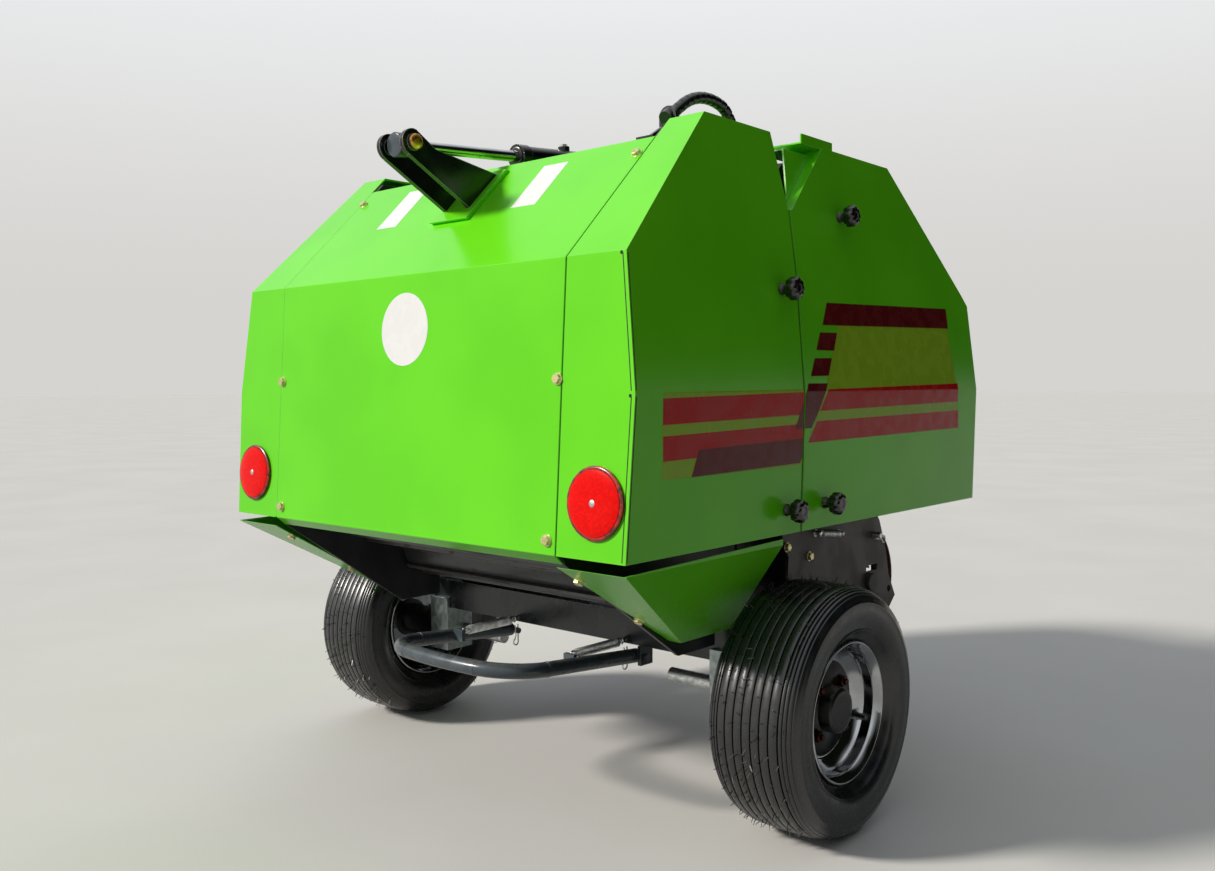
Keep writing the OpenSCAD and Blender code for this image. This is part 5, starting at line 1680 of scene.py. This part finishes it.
@dataclass
class Hose:
    """The hydraulic hose in its spiral guard, from the tailgate's bracket to the hood."""

    x: float = 334.0
    start_y: float = 310.0
    start_z: float = 1172.0
    rise: float = 35.0
    seat: float = 0.3
    outer_r: float = 10.0
    groove: float = 1.7
    pitch: float = 16.0
    step: float = 1.6
    sides: int = 24
    # Straight length, radius of the bend after it, and its turn upwards in degrees
    stretches: tuple[tuple[float, float, float], ...] = (
        (31, 130, -50), (0, 40, -34), (30, 40, 49), (21, 0, 0))

    def route(self) -> list[tuple[float, Vector]]:
        """Lays the centreline out, stretch by stretch.

        Returns:
            Its points, each with its distance along the hose.
        """
        heading = math.radians(self.rise)
        place = Vector((self.x, self.start_y, self.start_z))
        place += Vector((0, math.cos(heading), math.sin(heading))) * self.seat
        points, run = [(0.0, place.copy())], 0.0
        for straight, radius, turn in self.stretches:
            bend = math.radians(turn)
            for length, total in ((straight, 0.0), (abs(bend) * radius, bend)):
                pieces = max(1, round(length / self.step)) if length > 0 else 0
                for _ in range(pieces):
                    heading += total / pieces / 2
                    place += Vector((0, math.cos(heading), math.sin(heading))) * length / pieces
                    heading += total / pieces / 2
                    run += length / pieces
                    points.append((run, place.copy()))
        return points

    def radius_at(self, run: float, turn: float) -> float:
        """Shapes the guard: a wound band with a rounded groove between its turns.

        Args:
            run: Distance along the hose.
            turn: Angle round it, in radians.

        Returns:
            The radius there.
        """
        share = (run / self.pitch + turn / (2 * math.pi)) % 1.0
        dip = max(0.0, 1 - abs(share - 0.5) / 0.14)
        return self.outer_r - self.groove * dip ** 0.7 - 0.5 * abs(0.5 - share) ** 2

    def build(self) -> None:
        """Sweeps the hose, dresses both of its holders, and bends it over the hinge."""
        route = self.route()
        rings = []
        side = Vector((1, 0, 0))
        for i, (run, point) in enumerate(route):
            before, after = route[max(i - 1, 0)][1], route[min(i + 1, len(route) - 1)][1]
            up = (after - before).normalized().cross(side)
            angles = [2 * math.pi * k / self.sides for k in range(self.sides)]
            rings.append([point + (side * math.cos(a) + up * math.sin(a))
                          * self.radius_at(run, a) for a in angles])
        form = Form()
        form.rings(rings)
        piece = form.to_object("hydraulic_hose_guarded", HOSE_GUARD, None, 60)
        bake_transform(piece)
        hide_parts("hydraulic_hose")
        dress("hose_bracket", BLACK_PAINT, 0.6)
        dress("hose_fitting", ZINC, 0.5)


@dataclass
class Pickup:
    """The tined reel, its strips and its side plates."""

    reel_y: float = 830.0
    reel_z: float = 342.0
    half_w: float = 396.0
    bar_ring: float = 66.0
    bar_r: float = 11.0
    tine_tip: float = 141.0
    tine_pitch: float = 62.0
    tine_count: int = 12
    tine_bars: int = 4
    wire_r: float = 2.6
    coil_r: float = 15.5
    plate_x: float = 416.0
    bolts: tuple[Point, ...] = ((527, 445), (603, 420))
    spring_ends: tuple[Point, Point] = ((624, 460), (706, 451))
    clip_pin: Point = (847, 433)
    spring_r: float = 5.4
    spring_wire: float = 1.1
    spider_in: float = 60.0

    def plate_fittings(self) -> None:
        """Sets the bolts, the tension spring and the clipped pin on each side plate."""
        bolts, wire = Form(), Form()
        for side in Side:
            for y, z in self.bolts:
                bolts.hex_bolt(facing_x(self.plate_x, y, z, side), *M8)
            x = side.value * (self.plate_x + 8)
            ends = [Vector((x, *end)) for end in self.spring_ends]
            for end in ends:
                wire.lathe([(0, 0), (7, 0), (7, 1.4), (4, 1.6), (4, 12), (3, 13), (0, 13)],
                           facing_x(self.plate_x, end.y, end.z, side), 24)
            along = (ends[1] - ends[0]).normalized()
            coil = helix(ends[0] + along * 10, ends[1] - along * 10, self.spring_r, 20)
            wire.tube(coil, self.spring_wire, 7)
            for end, sign in ((ends[0], 1), (ends[1], -1)):
                angles = [math.radians(d) for d in range(-150, 151, 25)]
                hook = [end + along * (sign * (6 - 6 * math.cos(a))) + Vector((0, 0, 1))
                        * self.spring_r * math.sin(a) for a in angles]
                wire.tube(hook, self.spring_wire, 7)
            y, z = self.clip_pin
            wire.lathe([(0, 0), (6, 0), (6, 16), (5, 17), (0, 17)],
                       facing_x(self.plate_x, y, z, side), 24)
            hairpin(wire, side.value * (self.plate_x + 11), y, z, 80)
        bolts.to_object("pickup_bolts", YELLOW_ZINC, Body.CHASSIS)
        wire.to_object("pickup_springs_and_clips", ZINC, Body.CHASSIS)

    def tine(self, form: Form, x: float, turn: float, hand: int) -> None:
        """Adds one spring tine: a coil round its bar and a straight finger.

        Args:
            form: The mesh that it goes into.
            x: The finger's distance from the middle.
            turn: The bar's angle round the reel, in radians.
            hand: One or minus one, the side on which the coil lies.
        """
        out = Vector((0, math.cos(turn), math.sin(turn)))
        back = Vector((0, -math.sin(turn), math.cos(turn)))
        centre = Vector((x, self.reel_y, self.reel_z)) + out * self.bar_ring
        path = []
        turns, steps = 2.5, 14
        for i in range(int(turns * steps) + 1):
            a = math.pi + 2 * math.pi * i / steps
            slide = hand * (turns * steps - i) / steps * (2 * self.wire_r + 0.4)
            path.append(centre + (out * math.sin(a) + back * math.cos(a)) * self.coil_r
                        + Vector((slide, 0, 0)))
        root = path[-1]
        tip = (Vector((x, self.reel_y, self.reel_z)) + out * self.tine_tip * 0.985
               + back * self.tine_tip * 0.02)
        middle = root.lerp(tip, 0.5) + back * 1.5
        path += [root.lerp(middle, 0.5), middle, middle.lerp(tip, 0.5), tip]
        form.tube(path, self.wire_r, 7)

    def reel(self) -> None:
        """Builds the reel: shaft, spiders, tine bars and spring tines."""
        steel, tines = Form(), Form()
        axis = facing_x(0, self.reel_y, self.reel_z)
        end = self.half_w + 30
        steel.lathe([(0, -end), (16.3, -end), (17.5, -end + 1.2), (17.5, -self.half_w),
                     (22, -self.half_w), (22, self.half_w), (17.5, self.half_w),
                     (17.5, end - 1.2), (16.3, end), (0, end)], axis, 40)
        outer = self.half_w - self.spider_in
        for x in (-outer, -self.half_w / 3, self.half_w / 3, outer):
            for i in range(self.tine_bars):
                a = 360 * i / self.tine_bars
                arm = [(15, -12), (self.bar_ring, -9), (self.bar_ring + 9, 0),
                       (self.bar_ring, 9), (15, 12)]
                turned = facing_x(x, self.reel_y, self.reel_z) @ Matrix.Rotation(
                    math.radians(a), 4, "Z")
                steel.prism(arm, -3, 3, turned)
            steel.lathe([(22, -8), (30, -8), (31, -7), (31, 7), (30, 8), (22, 8)],
                        facing_x(x, self.reel_y, self.reel_z), 32, loop=True)
        for b in range(self.tine_bars):
            turn = 2 * math.pi * b / self.tine_bars
            y = self.reel_y + self.bar_ring * math.cos(turn)
            z = self.reel_z + self.bar_ring * math.sin(turn)
            bar_end = self.half_w - 48
            steel.lathe([(0, -bar_end), (self.bar_r, -bar_end), (self.bar_r, bar_end),
                         (0, bar_end)], facing_x(0, y, z), 20)
            for i in range(self.tine_count):
                x = (i - (self.tine_count - 1) / 2) * self.tine_pitch
                self.tine(tines, x, turn, 1 if i % 2 else -1)
        shaft = steel.to_object("reel_spiders", FRAME_PAINT, Body.REEL)
        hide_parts("pickup_reel")
        tines.to_object("reel_tines", TINE_STEEL, Body.REEL)

    def build(self) -> None:
        """Builds the pickup."""
        dress("pickup_sides", PLATE_PAINT)
        dress("pickup_bands", BAND_PAINT, 0.5)
        self.reel()
        self.plate_fittings()


# Studio


@dataclass
class Studio:
    """Floor, light and the photograph's camera."""

    eye: tuple[float, float, float] = (1432.8, -1098.8, 730.4)
    yaw: float = 0.7231
    pitch: float = -0.0462
    roll: float = -0.0048
    lens: float = 32.11
    sensor: float = 36.0
    floor_half: float = 90.0
    backdrop: str = "#D6D4D1"
    zenith: str = "#F4F7FA"
    shady: str = "#12160F"
    sky_light: str = "#E6ECF2"
    wall_light: str = "#1E2226"
    ambient: float = 0.42
    dark_side: tuple[float, float, float] = (0.8, 0.6, 0.0)

    def camera(self) -> None:
        """Sets the camera where the photograph was taken."""
        yaw, pitch, roll = self.yaw, self.pitch, self.roll
        forward = Vector((-math.sin(yaw) * math.cos(pitch), math.cos(yaw) * math.cos(pitch),
                          math.sin(pitch)))
        right = Vector((math.cos(yaw), math.sin(yaw), 0))
        up = right.cross(forward)
        c, s = math.cos(roll), math.sin(roll)
        turned_right, turned_up = right * c + up * s, up * c - right * s
        turn = Matrix((turned_right, turned_up, -forward)).transposed().to_4x4()
        data = bpy.data.cameras.new("photo_camera")
        data.lens = self.lens
        data.sensor_width = self.sensor
        data.sensor_fit = "HORIZONTAL"
        data.clip_end = 200
        camera = bpy.data.objects.new("photo_camera", data)
        camera.matrix_world = Matrix.Translation(at(*self.eye)) @ turn
        bpy.context.scene.collection.objects.link(camera)
        bpy.context.scene.camera = camera

    def floor(self) -> None:
        """Lays the floor."""
        h = self.floor_half
        mesh = bpy.data.meshes.new("floor")
        mesh.from_pydata([(-h, -h, 0), (h, -h, 0), (h, h, 0), (-h, h, 0)], [], [(0, 1, 2, 3)])
        mesh.materials.append(FLOOR.material())
        floor = bpy.data.objects.new("floor", mesh)
        bpy.context.scene.collection.objects.link(floor)

    def lamp(self, name: str, source: tuple[float, float, float], spread: float,
             strength: float, colour: str, mirrored: bool = True) -> None:
        """Hangs one soft light far away.

        Args:
            name: The lamp's name.
            source: The direction that the light comes from.
            spread: How wide the light looks from the machine, in degrees.
            strength: Its strength, where pi shows a facing colour as written.
            colour: Its colour.
            mirrored: Whether glossy surfaces show it.
        """
        data = bpy.data.lights.new(name, "SUN")
        data.angle = math.radians(spread)
        data.energy = strength
        data.color = hex_linear(colour)[:3]
        lamp = bpy.data.objects.new(name, data)
        lamp.rotation_euler = Vector(source).to_track_quat("Z", "Y").to_euler()
        lamp.visible_glossy = mirrored
        bpy.context.scene.collection.objects.link(lamp)

    def world(self) -> None:
        """Sets soft ambient light, and a pale backdrop for what the camera and metal see.

        The room is dark on the machine's right, which its right side shows as deep shade and
        the camera never looks at.
        """
        world = bpy.data.worlds.new("studio")
        world.use_nodes = True
        tree = world.node_tree
        tree.nodes.clear()
        direction = add_node(tree, "TexCoord", out="Generated")
        height = add_node(tree, "SeparateXYZ", {0: direction}, "Z")
        across = add_node(tree, "VectorMath", {"operation": "DOT_PRODUCT", 0: direction,
                                               1: self.dark_side}, "Value")
        camera_ray = add_node(tree, "LightPath", out="Is Camera Ray")
        rise, low, near, wide, bounced = (
            add_node(tree, "MapRange", {**SMOOTH, "Value": value, "From Min": start,
                                        "From Max": end, "To Min": before, "To Max": after})
            for value, start, end, before, after in (
                (height, 0.05, 0.5, 0.0, 1.0), (height, 0.6, 0.95, 1.0, 0.0),
                (across, 0.25, 0.65, 0.0, 1.0), (across, -0.1, 0.6, 0.0, 1.0),
                (camera_ray, 0.0, 1.0, 1.0, 0.0)))
        dark = add_node(tree, "Math", {**TIMES, 0: near, 1: low})
        mirrored = add_node(tree, "Math", {**TIMES, 0: dark, 1: bounced})
        seen = layered(tree, self.backdrop, (rise, self.zenith), (mirrored, self.shady))
        dim = add_node(tree, "Math", {**TIMES, 0: wide, 1: low})
        soft = layered(tree, self.sky_light, (dim, self.wall_light))
        ambient = add_node(tree, "Background", {"Color": soft, "Strength": self.ambient})
        backdrop = add_node(tree, "Background", {"Color": seen, "Strength": 1.0})
        mixed = add_node(tree, "MixShader", {0: seen_directly(tree), 1: ambient, 2: backdrop})
        add_node(tree, "OutputWorld", {"Surface": mixed})
        bpy.context.scene.world = world

    def build(self) -> None:
        """Sets up the studio."""
        bpy.context.scene.view_settings.view_transform = "Standard"
        self.camera()
        self.floor()
        self.world()
        self.lamp("key_light", (-0.49, -0.69, 0.53), 8, 3.0, "#FFFAF2")
        self.lamp("front_fill", (-0.35, 0.85, 0.45), 60, 0.5, "#F2F6FF", mirrored=False)


def main() -> None:
    """Builds the studio and the machine's sub-assemblies in order, and reports each piece."""
    logging.basicConfig(level=logging.INFO, format="%(name)s %(message)s")
    Studio().build()
    Bodywork().build()
    Stripes().build()
    RearFace().build()
    Knobs().build()
    for side in Side:
        Wheel(side).build()
    RunningGear().build()
    Chamber().build()
    Hitch().build()
    Lift().build()
    Hose().build()
    Pickup().build()


if __name__ == "__main__":
    main()
